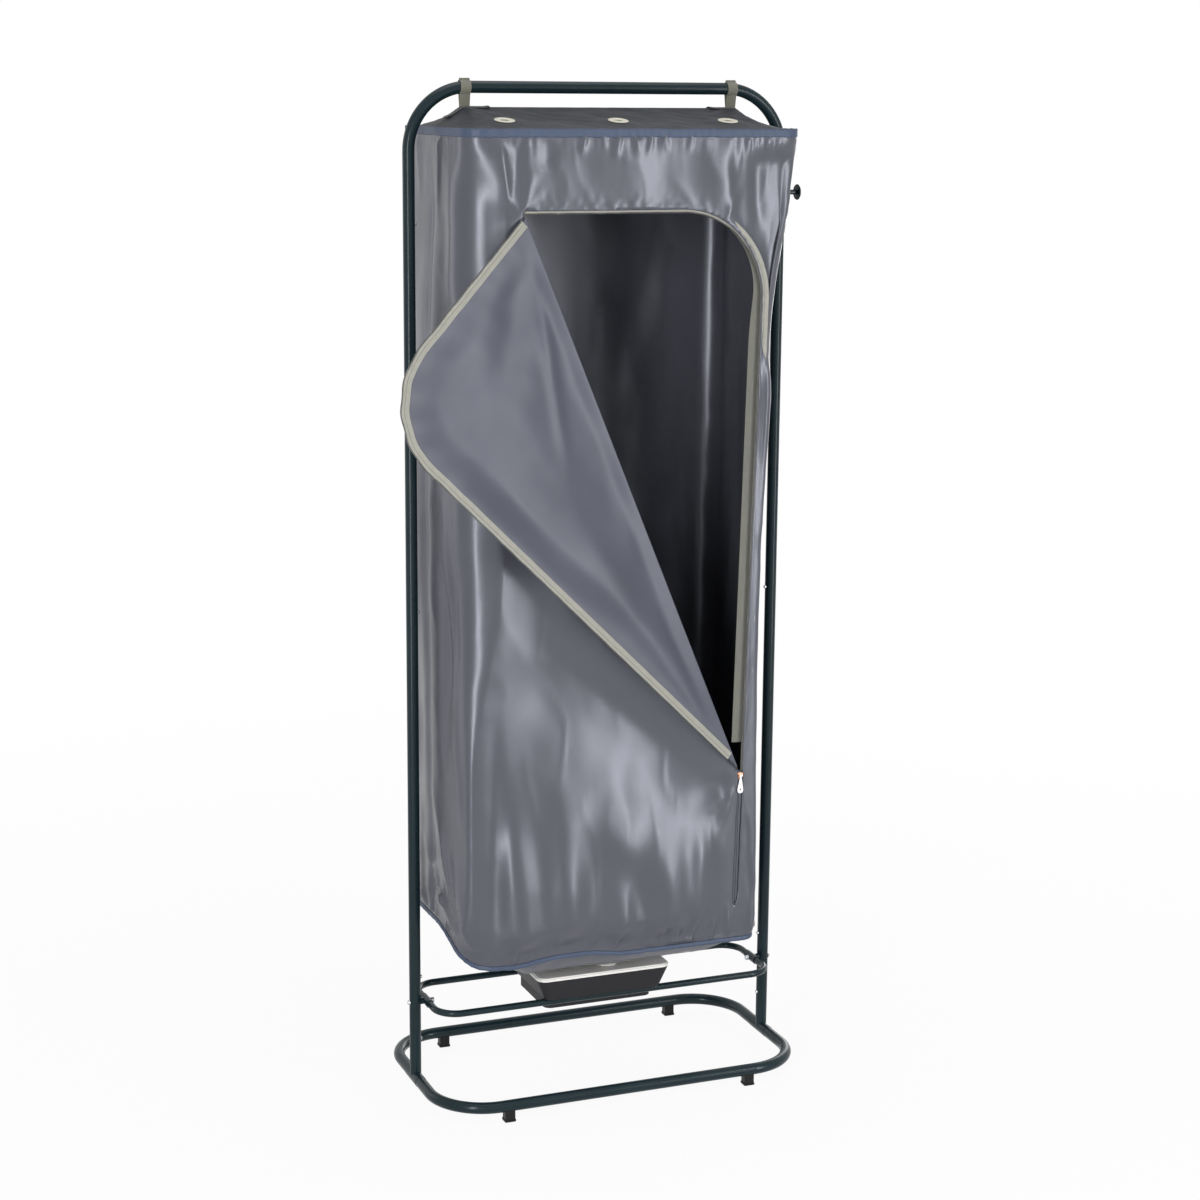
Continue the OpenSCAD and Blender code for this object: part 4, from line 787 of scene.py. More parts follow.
def moulded_finish(name, colour, roughness, grain, depth_mm, vary=0.12, specular=0.5):
    """Moulded plastic: a spark eroded grain, slightly uneven in colour and gloss."""
    finish = Finish(name, Specular_IOR_Level=specular)
    place = finish.place()
    texture = finish.noise(place, grain, 3, 0.65)
    cloud = finish.noise(place, 18, 3, 0.55)
    paint = finish.blend(cloud, tone(colour, 1 - vary), tone(colour, 1 + vary))
    return finish.surface(Base_Color=paint, Roughness=texture * 0.14 + (roughness - 0.07),
                          Normal=finish.bump(texture, depth_mm * MM, 0.5))


def metal_finish(name, colour, roughness, stretch, tarnish=0.25):
    """Bare metal with drawn lines and a little tarnish."""
    finish = Finish(name, Metallic=1.0)
    place = finish.place()
    lines = finish.noise(finish.stretched(place, stretch), 1.0, 3, 0.6)
    cloud = finish.noise(place, 60, 3, 0.6)
    shade_in = (lines * 0.45 + cloud * 0.55).clamped()
    paint = finish.blend(shade_in, tone(colour, 1 - tarnish), tone(colour, 1.08))
    return finish.surface(Base_Color=paint, Roughness=lines * 0.16 + (roughness - 0.05),
                          Normal=finish.bump(lines, 0.03 * MM, 0.4))


def printed_finish(name, colour):
    """Matt printing ink with a slight break-up of its edge."""
    finish = Finish(name, Specular_IOR_Level=0.3)
    speckle = finish.noise(finish.place(), 1800, 2, 0.6)
    paint = finish.blend(speckle, tone(colour, 0.8), tone(colour, 1.25))
    return finish.surface(Base_Color=paint, Roughness=speckle * 0.2 + 0.5)


def white_floor_finish(near_glow, reach):
    """A pale floor, white to the camera and in reflections, that keeps a soft shadow near the part.

    near_glow is the share of plain white close to the part. It grows to 1 at the distance reach.
    """
    finish = Finish("pale_floor", Base_Color=(0.82, 0.82, 0.82), Specular_IOR_Level=0.1)
    grain = finish.noise(finish.place(), 3, 2)
    finish.surface(Roughness=grain * 0.1 + 0.82)
    distance = finish.node("ShaderNodeVectorMath", {"operation": "LENGTH"}, {0: finish.place()}, "Value")
    glow = (distance * ((1 - near_glow) / reach) + near_glow).clamped()
    white = finish.node("ShaderNodeEmission", {}, {"Color": (1, 1, 1), "Strength": 1.0})
    finish.close("Material Output", finish.seen_plainly() * glow,
                 Signal(finish, finish.shader.outputs[0]), white)
    return finish.material


class CabinetLook(bpy.types.PropertyGroup):
    """Sizes and colours of the cabinet's cloth, trim and finishes."""

    cloth_thickness: FloatProperty(
        name="Cloth", description="Thickness of the bag's cloth", default=0.0008, unit="LENGTH")
    cloth_colour: FloatVectorProperty(
        name="Cloth colour", description="Outside of the bag", subtype="COLOR",
        default=(0.084, 0.088, 0.108))
    lining_colour: FloatVectorProperty(
        name="Lining colour", description="Inside of the bag", subtype="COLOR",
        default=(0.66, 0.655, 0.63))
    flap_colour: FloatVectorProperty(
        name="Flap lining colour", description="Inner face of the door's flap", subtype="COLOR",
        default=(0.064, 0.068, 0.092))
    # Painted shade: the roof cloth's colour is darkened for the shade the roof lies in
    roof_shade_colour: FloatVectorProperty(
        name="Roof colour", description="Darker cloth of the roof", subtype="COLOR",
        default=(0.034, 0.037, 0.043))
    binding_colour: FloatVectorProperty(
        name="Binding colour", description="Bound top edge and hem", subtype="COLOR",
        default=(0.046, 0.066, 0.115))
    tape_colour: FloatVectorProperty(
        name="Tape colour", description="Woven tape of the zip", subtype="COLOR",
        default=(0.33, 0.325, 0.285))
    webbing_colour: FloatVectorProperty(
        name="Webbing colour", description="Straps over the top bar", subtype="COLOR",
        default=(0.17, 0.168, 0.135))
    frame_colour: FloatVectorProperty(
        name="Frame colour", description="Powder coat of the tubes", subtype="COLOR",
        default=(0.009, 0.021, 0.026))
    tooth_pitch: FloatProperty(
        name="Tooth pitch", description="Distance between two teeth of a zip row", default=0.0017,
        unit="LENGTH")
    stitch_pitch: FloatProperty(
        name="Stitch pitch", description="Distance between two stitches", default=0.0045, unit="LENGTH")
    lamp_power: FloatProperty(
        name="Lamp power", description="Power of the largest soft lamp", default=62, unit="POWER")
    sky_strength: FloatProperty(
        name="Surroundings", description="Strength of the light from all round", default=0.34)


def look():
    return bpy.context.scene.cabinet_look


def bag_columns():
    """Places of the columns along each stretch of the bag's outline, from 0 to 1."""
    front = np.concatenate([np.linspace(0, 0.80, 98, endpoint=False),
                            np.linspace(0.80, 1, 42, endpoint=False)])
    bend = np.linspace(0, 1 / 3, 7, endpoint=False)
    flat_part = np.linspace(1 / 3, 2 / 3, 44, endpoint=False)
    side = np.concatenate([bend, flat_part, bend + 2 / 3])
    back = np.linspace(0, 1, 56, endpoint=False)
    return front, side, back


def bag_rows():
    """Heights of the rows between hem and top edge, from 0 to 1, closer at both and at the door's top."""
    height = BAG_TOP - HEM_Z
    low = np.linspace(0, 0.064, 17, endpoint=False)
    body = np.linspace(0.064, 1.225, 96, endpoint=False)
    door_edge = np.linspace(1.225, 1.275, 10, endpoint=False)
    above_door = np.linspace(1.275, 1.330, 7, endpoint=False)
    high = np.linspace(1.330, height, 13)
    return np.concatenate([low, body, door_edge, above_door, high]) / height


def side_wall(u, v, front_x, front_r, crease, side):
    """The bag's outline on one side, 1 right or -1 left, with the corners at its front and back."""
    u = np.broadcast_to(u, v.shape[:1] + u.shape[-1:])
    t = np.clip((u - 1 / 3) * 3, 0, 1)
    first, last = u < 1 / 3, u > 2 / 3
    turn = 1.5 * math.pi * u
    y0 = -HALF_D + front_r
    y = np.where(first, y0 - front_r * np.cos(turn),
                 np.where(last, SIDE_Y + CORNER_R * np.sin(turn - math.pi), y0 + (SIDE_Y - y0) * t))
    hem = hem_at(side * (front_x - front_r), y)
    z = hem + (BAG_TOP - hem) * v
    belly = 14 * MM * np.sin(math.pi * t) * smooth(2.6 * (1 - v)) * smooth(4 * v)
    belly = belly - crease * np.exp(-((y - 0.002) / 0.013) ** 2) * smooth(9 * (1 - v)) * smooth(6 * v)
    side_x = front_x + (HALF_W - front_x) * t
    x = np.where(first, front_x - front_r + front_r * np.sin(turn),
                 np.where(last, HALF_W - CORNER_R + CORNER_R * np.cos(turn - math.pi), side_x + belly))
    return np.stack([x, y, z], -1)


def bag_outline(rows):
    """The plain shape of the bag's walls: rows x columns x 3, counted from the front left corner."""
    front_u, side_u, back_u = bag_columns()
    v = rows[:, None]
    z_plain = HEM_Z + (BAG_TOP - HEM_Z) * v
    x0 = -HALF_W + front_left_r(z_plain)
    x1 = front_right_x(z_plain) - front_right_r(z_plain)
    front_x = x0 + (x1 - x0) * front_u
    front_hem = hem_at(front_x, FRONT_Y)
    front = np.stack([front_x, np.full_like(front_x, FRONT_Y), front_hem + (BAG_TOP - front_hem) * v], -1)
    right = side_wall(side_u, v, front_right_x(z_plain), front_right_r(z_plain), 0, 1)
    x2 = HALF_W - CORNER_R
    back_x = np.broadcast_to(x2 - 2 * x2 * back_u, (len(rows), len(back_u)))
    back_hem = hem_at(0, HALF_D)
    z_back = np.broadcast_to(back_hem + (BAG_TOP - back_hem) * v, back_x.shape)
    back = np.stack([back_x, np.full_like(back_x, HALF_D), z_back], -1)
    left = side_wall(1 - side_u, v, HALF_W, front_left_r(z_plain), 5 * MM, -1)
    left[..., 0] *= -1
    return np.concatenate([front, right, back, left], axis=1), len(front_u)


def outward_of(grid):
    """Outward directions of a grid whose columns run round the bag and whose rows rise."""
    tangent = np.roll(grid, -1, 1) - np.roll(grid, 1, 1)
    return unit_rows(np.cross(tangent, np.gradient(grid, axis=0)))


def bag_walls_grid():
    """The walls with their folds, the points' states, the front's plain x and z, and lengths round."""
    base, front_count = bag_outline(bag_rows())
    flat, state_front = fit_to_outline(base[:, :front_count, (0, 2)], OPENING, [tuple(CREASE_START)])
    base[:, :front_count, 0], base[:, :front_count, 2] = flat[..., 0], flat[..., 1]
    state = np.zeros(base.shape[:2], int)
    state[:, :front_count] = state_front
    outward = outward_of(base)
    relief = wall_relief(base, outward, hem_at(base[..., 0], base[..., 1]))
    relief[:, :front_count] = door_relief(flat, relief[:, :front_count])
    steps = np.linalg.norm(np.roll(base, -1, 1) - base, axis=2)
    along = np.cumsum(steps, axis=1) - steps
    return base + outward * relief[..., None], state, flat, along


class CABINET_OT_bag_walls(bpy.types.Operator):
    """Hangs the bag's walls as one folded shell with the door's opening cut in its front"""

    bl_idname = "cabinet.bag_walls"
    bl_label = "Bag walls"

    def execute(self, context):
        grid, state, flat, along = bag_walls_grid()
        state = closed_ring(state, 1)
        closing = closed_ring(grid, 1)
        flat_all = np.zeros((*state.shape, 2))
        flat_all[:, :flat.shape[1]] = flat
        last = along[:, -1:] + np.linalg.norm(grid[:, -1] - grid[:, 0], axis=1)[:, None]
        uv = np.stack([np.concatenate([along, last], 1), closing[..., 2]], -1)
        piece = mesh_piece("bag_shell", closing, cut_faces(state, flat_all, OPENING, False), uv)
        merge_doubles(piece)
        thicken(piece, look().cloth_thickness, inner=1)
        shade(piece)
        finish_piece(piece, [CLOTH["outer"], CLOTH["lining"]], "cabinet",
                     ("bag_front", "bag_left", "bag_right", "bag_back"))
        return {"FINISHED"}


def roof_half(x):
    """Half the roof's depth at x, which shrinks at its round corners."""
    over = np.clip(np.abs(x) - (HALF_W - CORNER_R), 0, None)
    radius = CORNER_R - ROOF_IN
    return SIDE_Y + np.sqrt(np.clip(radius ** 2 - over ** 2, 0, None))


def roof_height(x, y):
    """Height of the roof's plain shape, a tent with its ridge along x and hips at its ends."""
    rise = RIDGE_RISE * np.minimum(1, (HALF_W - np.abs(x)) / HIP_RUN)
    return BAG_TOP + rise * (1 - np.abs(y) / np.maximum(roof_half(x), 1e-6))


# Folds of the roof, over x and y
ROOF_FOLDS = [
    (-240, 0, -205, -150, 16, 1.8, 1), (-240, 2, -120, -160, 20, 2.2, 1), (240, 0, 180, -160, 18, 2.2, 1),
    (-244, 4, -60, 30, 16, 1.6, 1), (240, 2, 90, -130, 16, 1.6, 1), (-60, -150, -40, -20, 22, 1.6, 0),
    (70, -160, 110, -20, 22, 1.6, 0), (-150, 150, -170, 20, 22, 2.0, 0), (60, 150, 20, 30, 22, 1.8, 0),
    (236, -4, 205, 150, 18, 2.2, 1), (-238, -4, -212, 150, 18, 2.2, 1),
]


class CABINET_OT_bag_roof(bpy.types.Operator):
    """Lays the tented roof over the ridge, with its soft sag and a cut-out under each eyelet"""

    bl_idname = "cabinet.bag_roof"
    bl_label = "Bag roof"

    def execute(self, context):
        columns, rows = 176, 100
        u = np.linspace(-1, 1, columns)
        x = (HALF_W - ROOF_IN) * np.sign(u) * (1 - (1 - np.abs(u)) ** 1.15)
        x = np.broadcast_to(x, (rows, columns))
        flat = np.stack([x, roof_half(x) * np.linspace(-1, 1, rows)[:, None]], -1)
        state = np.zeros((rows, columns), int)
        angles = np.linspace(0, 2 * math.pi, 25)[:-1]
        circle = EYELET_HOLE_R * np.stack([np.cos(angles), np.sin(angles)], -1)
        for eyelet in EYELETS:
            flat, own = fit_to_outline(flat, circle + np.array(eyelet))
            state = np.maximum(state, own)
        x, y = flat[..., 0], flat[..., 1]
        points = np.stack([x, y, roof_height(x, y) + 0.3 * MM], -1)
        share = np.abs(y) / np.maximum(roof_half(x), 1e-6)
        rim = smooth((1 - share) / 0.12) * smooth((HALF_W - np.abs(x)) / 0.020)
        ridge = smooth(share / 0.10)
        relief = -4.5 * MM * np.sin(math.pi * share) * smooth((HALF_W - np.abs(x)) / 0.10)
        relief += pleats(x, y, ROOF_FOLDS) * rim + rim * ridge * 1.0 * MM * ripple(points, 0.090, 11)
        relief += rim * 0.35 * MM * ripple(points, 0.030, 12)
        for cx, cy in EYELETS:
            relief *= smooth((np.hypot(x - cx, y - cy) - EYELET_CALM_R) / 0.030)
        over_rail = np.maximum(smooth(share / 0.14), 0.15)
        points[..., 2] += relief * over_rail + 1.0 * MM
        uv = np.stack([x, y * 1.02], -1)
        piece = mesh_piece("roof_cloth", points, self.faces(state, flat), uv)
        merge_doubles(piece)
        thicken(piece, look().cloth_thickness, inner=1)
        shade(piece)
        finish_piece(piece, [CLOTH["roof"], CLOTH["lining"]], "cabinet", ("bag_roof",))
        return {"FINISHED"}

    def faces(self, state, flat):
        """The roof's faces without those inside the eyelets' holes."""
        rows, columns = state.shape
        state, flat = state.ravel(), flat.reshape(-1, 2)
        faces = []
        for face in grid_faces(rows, columns):
            kinds = state[face]
            middle = flat[face].mean(0)
            near = min(np.hypot(*(middle - eyelet)) for eyelet in EYELETS) < EYELET_HOLE_R - 0.2 * MM
            in_hole = (kinds > 0).all() and (near or (kinds == 1).any())
            rest = [index for index, kind in zip(face, kinds) if kind != 1]
            if not in_hole and len(rest) > 2:
                faces.append(rest)
        return faces


class CABINET_OT_bag_floor(bpy.types.Operator):
    """Gathers the floor cloth from the hem to the elastic round the heater's outlet"""

    bl_idname = "cabinet.bag_floor"
    bl_label = "Bag floor"

    def execute(self, context):
        outline = closed_ring(bag_outline(np.array([0.0, 0.01]))[0][0])
        edge = along_path(outline, np.linspace(0, 1, 361)[:-1] * arc_lengths(outline)[-1])
        centre = np.array([HEATER_X, COLLAR_Y])
        away = unit_rows(edge[:, :2] - centre)
        steps = np.linspace(0, 1, 40) ** 1.25
        rim = centre + away * FLOOR_HOLE_R
        plan = edge[None, :, :2] + (rim - edge[:, :2])[None] * steps[:, None, None]
        plan[0] = edge[:, :2] - away * 0.4 * MM
        t = steps[:, None]
        # It hangs down behind the front hem before it turns inwards, and less so at the other sides
        corner = smooth((edge[:, 0] + 0.262) / 0.060) * smooth((0.222 - edge[:, 0]) / 0.040)
        turn_in = 0.34 - 0.17 * corner * (1 - smooth((edge[:, 1] - FRONT_Y) / 0.030))
        rim_z = FLOOR_RIM_Z + 2.2 * MM
        z = rim_z + (edge[:, 2] - 1.0 * MM - rim_z) * np.exp(-(t / turn_in) ** 1.4) * (1 - t ** 6)
        points = np.concatenate([plan, z[..., None]], -1)
        angle = np.arctan2(away[:, 1], away[:, 0])
        spokes = np.stack([np.cos(angle), np.sin(angle), 0 * angle], -1)
        gather = np.abs(ripple(spokes * 0.2, 0.028, 21))[None] * smooth((t - 0.45) / 0.5)
        swell = ripple(points, 0.110, 22)
        loose = smooth(t / 0.06) * smooth((0.995 - t) / 0.08)
        points[..., 2] += loose * 2.6 * MM * gather + loose * 1.4 * MM * swell
        fine = np.abs(ripple(points, 0.045, 23))
        points[..., 2] += loose * 0.8 * MM * fine
        closing = closed_ring(points, 1)
        reach = closed_ring(np.linalg.norm(plan - plan[:1], axis=2), 1)
        uv = spread_uv(arc_lengths(closed_ring(edge)), reach, reach.shape)
        faces = [face[::-1] for face in grid_faces(*reach.shape)]
        piece = mesh_piece("floor_cloth", closing, faces, uv)
        merge_doubles(piece)
        thicken(piece, look().cloth_thickness, inner=1)
        shade(piece)
        finish_piece(piece, [CLOTH["outer"], CLOTH["lining"]], "cabinet", ("bag_floor",))
        return {"FINISHED"}


# Cross-sections of the bindings: millimetres outwards, and share of the height
TOP_PROFILE = [
    (0.2, 0.0), (0.8, -0.03), (1.3, 0.10), (1.45, 0.35), (1.3, 0.6), (1.5, 0.85), (1.1, 1.0),
    (0.4, 1.02), (-0.6, 0.95), (-0.2, 0.80), (0.15, 0.5), (0.15, 0.2),
]
HEM_PROFILE = [
    (0.2, 0.05), (1.0, -0.1), (1.9, 0.02), (2.4, 0.25), (2.3, 0.5), (1.6, 0.7), (1.0, 0.86),
    (0.55, 1.0), (0.15, 0.9), (-0.2, 0.5), (-0.25, 0.2),
]


def binding_ring(name, at_top, low, high, seed, ruffle, profile, steps=760):
    """A narrow strip bound over an edge of the bag: it follows the outline, slightly puckered."""
    base, _ = bag_outline(np.array([0.99, 1.0] if at_top else [0.0, 0.01]))
    own = 1 if at_top else 0
    outward = closed_ring(outward_of(base)[own])
    edge = closed_ring(base[own])
    total = arc_lengths(edge)[-1]
    distances = np.linspace(0, total, steps + 1)[:-1]
    line = along_path(edge, distances)
    out = along_path(edge, distances, outward)
    out[:, 2] = 0
    out = unit_rows(out)
    pucker = ripple(line, 0.011, seed)
    lift = ripple(line, 0.016, seed + 1)
    swing = ripple(line, 0.060, seed + 2)
    points = []
    for across, height in profile:
        z = low + (high - low) * height
        frill = ruffle * (0.35 + abs(height - 0.5) * 1.5)
        spot = line + out * (across * MM + frill * pucker * (0.6 + 0.4 * swing))[:, None]
        spot[:, 2] += z + frill * 0.9 * lift
        points.append(spot)
    closing = closed_ring(np.stack(points, 1))
    ring = len(profile)
    uv = spread_uv(np.append(distances, total)[:, None], np.linspace(0, 2 * (high - low), ring),
                   closing.shape[:2])
    piece = mesh_piece(name, closing, tube_faces(steps + 1, ring), uv)
    merge_doubles(piece)
    point_outwards(piece)
    shade(piece)
    return piece


class CABINET_OT_bindings(bpy.types.Operator):
    """Binds the bag's top edge and its hem"""

    bl_idname = "cabinet.bindings"
    bl_label = "Bindings"

    def execute(self, context):
        top = binding_ring("top_piping", True, -9 * MM, 4 * MM, 31, 0.45 * MM, TOP_PROFILE)
        finish_piece(top, [CLOTH["binding"]], "cabinet", ("top_binding",))
        hem = binding_ring("hem_piping", False, -4 * MM, 3.4 * MM, 41, 0.35 * MM, HEM_PROFILE)
        finish_piece(hem, [CLOTH["binding"]], "cabinet", ("hem_binding",))
        return {"FINISHED"}


# Pulls of the flap's cloth: where each starts and ends, as a share along the crease and metres off
# it, then its width in metres and its height in millimetres
FLAP_PULLS = [
    (0.10, 0.020, 0.42, 0.110, 0.013, 2.6), (0.97, 0.008, 0.70, 0.080, 0.010, 2.4),
    (0.96, 0.012, 0.60, 0.040, 0.009, -1.8), (0.98, 0.005, 0.36, 0.150, 0.034, 6.5),
    (0.92, 0.030, 0.62, 0.170, 0.018, 3.2), (0.05, 0.030, 0.30, 0.210, 0.030, -3.5),
]


def flap_relief(points):
    """How far the open flap's cloth stands off its plane towards the viewer, at closed x and z."""
    along = (points - CREASE_START) @ CREASE_ALONG / CREASE_LENGTH
    off = side_of_crease(points)
    to_zip = distance_to_zip(points)
    body = smooth(off / 0.045)
    hold = smooth((to_zip - 0.012) / 0.060)
    wide = 11 * MM * np.sin(math.pi * np.clip(off / 0.34, 0, 1) ** 1.5) * np.sin(
        math.pi * np.clip(along, 0, 1))
    wide -= 3.4 * MM * smooth(off / 0.030) * np.exp(-(off / 0.10) ** 2) * smooth(along / 0.1) * smooth(
        (0.92 - along) / 0.2)
    deep = on_front(points)
    relief = wide * hold * smooth(off / 0.008) + body * hold * (
        1.8 * MM * ripple(deep, 0.190, 51) + 0.25 * MM * ripple(deep, 0.060, 52))
    places = np.stack([along * CREASE_LENGTH, off], -1)
    for a0, o0, a1, o1, width, height in FLAP_PULLS:
        a, b = np.array([a0 * CREASE_LENGTH, o0]), np.array([a1 * CREASE_LENGTH, o1])
        t = (places - a) @ (b - a) / ((b - a) @ (b - a))
        side = np.abs((places - a) @ np.array([-(b - a)[1], (b - a)[0]]) / np.linalg.norm(b - a))
        pull = smooth(t / 0.25) * smooth((1 - t) / 0.5)
        relief += body * hold * height * MM * np.exp(-(side / width) ** 2) * pull
    # The free edge with the zip waves, most of all round its corner
    x, z = points[:, 0], points[:, 1]
    corner = np.exp(-((np.hypot(x - CORNER_X - 0.09, z - CORNER_Z - 0.09)) / 0.16) ** 2)
    angle = np.arctan2(z - CORNER_Z + 0.25, x - CORNER_X + 0.25)
    wave = np.sin(angle * 2 * math.pi * 0.45 / 0.052 + 0.8 * np.sin(angle * 9))
    relief += body * np.exp(-to_zip / 0.022) * (0.5 + 1.9 * corner) * MM * wave
    return relief


def flap_places(points, lift):
    """Places of the open flap for closed x and z, lifted off its cloth towards the viewer."""
    along = (points - CREASE_START) @ CREASE_ALONG
    off = side_of_crease(points)
    roll = FOLD_R * FLAP_ANGLE
    turn = np.clip(off / FOLD_R, 0, FLAP_ANGLE)
    rest = np.clip(off - roll, 0, None)
    out = -0.4 * MM + FOLD_R * (1 - np.cos(turn)) + rest * math.sin(FLAP_ANGLE)
    across = FOLD_R * np.sin(turn) + rest * math.cos(FLAP_ANGLE)
    raised = lift + flap_relief(points)
    across = across + raised * np.sin(turn) * np.where(off < roll, 0, 1)
    out = out - raised * np.cos(turn) * smooth(off / 0.006)
    return on_front(CREASE_START + along[:, None] * CREASE_ALONG + across[:, None] * CREASE_OFF,
                    FRONT_Y - out)


def flap_outline():
    """The flap's outline in closed x and z, kept back from the zip line and from the slider."""
    path = np.array([p for p in zip_path(-FLAP_BACK, FLAP_LOW) if side_of_crease(p) > 0.4 * MM])
    first = CREASE_START + CREASE_ALONG * (FLAP_BACK / abs(CREASE_ALONG[1]) * 1.05)
    last = CREASE_START + CREASE_ALONG * (CREASE_LENGTH - TIP_GAP / abs(CREASE_ALONG[1]))
    return np.concatenate([[first], path, [last]])


class CABINET_OT_door_flap(bpy.types.Operator):
    """Folds the door's flap open over its crease, as one sheet that rolls round the fold"""

    bl_idname = "cabinet.door_flap"
    bl_label = "Door flap"

    def execute(self, context):
        outline = flap_outline()
        along = np.linspace(-0.01, CREASE_LENGTH + 0.01, 240)[None, :, None]
        off = np.concatenate([np.linspace(0, 4 * MM, 12, endpoint=False),
                              np.linspace(4 * MM, FLAP_REACH, 84)])[:, None, None]
        flat = CREASE_START + along * CREASE_ALONG + off * CREASE_OFF
        flat, state = fit_to_outline(flat, outline, [tuple(outline[0]), tuple(outline[-1])])
        points = flap_places(flat.reshape(-1, 2), 0)
        piece = mesh_piece("flap_cloth", points, cut_faces(state, flat, outline, True), flat)
        merge_doubles(piece)
        thicken(piece, look().cloth_thickness, inner=1, offset=0)
        shade(piece)
        finish_piece(piece, [CLOTH["flap"], CLOTH["outer"]], None, ("door_flap",))
        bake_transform(piece)
        return {"FINISHED"}


def ribbon(name, inner, outer, place, thickness, steps_across):
    """A tape between two paths in closed x and z, placed by a function and given its thickness."""
    share = np.linspace(0, 1, steps_across)[:, None]
    flat = inner[None] + (outer - inner)[None] * share[..., None]
    shape = flat.shape[:2]
    uv = spread_uv(arc_lengths(outer), share * TAPE_W, shape)
    piece = mesh_piece(name, place(flat.reshape(-1, 2)), grid_faces(*shape), uv)
    thicken(piece, thickness, offset=0)
    shade(piece, 50)
    return piece


def even_path(line, step):
    """A line with its points spread evenly, about a step apart."""
    total = arc_lengths(line)[-1]
    return along_path(line, np.linspace(0, total, max(2, int(total / step))))


def matched_paths(out_a, out_b, low, step):
    """Two zip paths at different offsets with as many points, matched along the zip."""
    guide = zip_path(0, low, 60)
    spots = even_path(guide, arc_lengths(guide)[-1] / 400)
    tangent = unit_rows(np.gradient(spots, axis=0))
    total = arc_lengths(spots)[-1]
    pick = np.linspace(0, total, max(2, int(total / step)))
    base = along_path(spots, pick)
    out = unit_rows(along_path(spots, pick, np.stack([-tangent[:, 1], tangent[:, 0]], -1)))
    return base + out * out_a, base + out * out_b


def taken_shape(piece):
    """The points and faces of a small piece, which is then removed."""
    points = np.array([tuple(v.co) for v in piece.data.vertices])
    faces = [list(p.vertices) for p in piece.data.polygons]
    bpy.data.objects.remove(piece)
    return points, faces


def tooth_shape():
    """One tooth of the zip: a small block with softened edges, made once from a cube."""
    clear_selection()
    bpy.ops.mesh.primitive_cube_add(size=1)
    bpy.ops.object.mode_set(mode="EDIT")
    bpy.ops.mesh.select_all(action="SELECT")
    bpy.ops.mesh.bevel(offset=0.16, segments=1, affect="EDGES")
    bpy.ops.object.mode_set(mode="OBJECT")
    return taken_shape(bpy.context.object)


def stitch_shape():
    """One stitch: a short straight thread, made once from a cylinder."""
    clear_selection()
    bpy.ops.mesh.primitive_cylinder_add(vertices=6, radius=0.5, depth=1, rotation=(0, math.pi / 2, 0))
    bpy.ops.object.transform_apply(location=True, rotation=True, scale=True)
    return taken_shape(bpy.context.object)


def repeated(name, shape, origins, axes, size):
    """Copies a small shape to many places in one mesh; axes holds three directions a place."""
    points, faces = shape
    spots = origins[:, None] + np.einsum("pk,nkd->npd", points * np.array(size), axes)
    copies = [[index + len(points) * n for index in face] for n in range(len(origins)) for face in faces]
    piece = mesh_piece(name, spots, copies)
    shade(piece, 40)
    return piece


def row_axes(line, face_normal):
    """Directions along, across and off a row of small shapes."""
    tangent = unit_rows(np.gradient(line, axis=0))
    across = unit_rows(np.cross(face_normal, tangent))
    return np.stack([tangent, across, face_normal], 1)


def flap_row(out_a, out_b, step, lift, clear):
    """Places and directions of a row of small shapes beside the open flap's zip edge."""
    line, guide = matched_paths(out_a, out_b, FLAP_LOW, step)
    keep = side_of_crease(line) > clear
    spots, beside = flap_places(line[keep], lift), flap_places(guide[keep], lift)
    tangent = unit_rows(np.gradient(spots, axis=0))
    return spots, row_axes(spots, unit_rows(np.cross(tangent, beside - spots)))


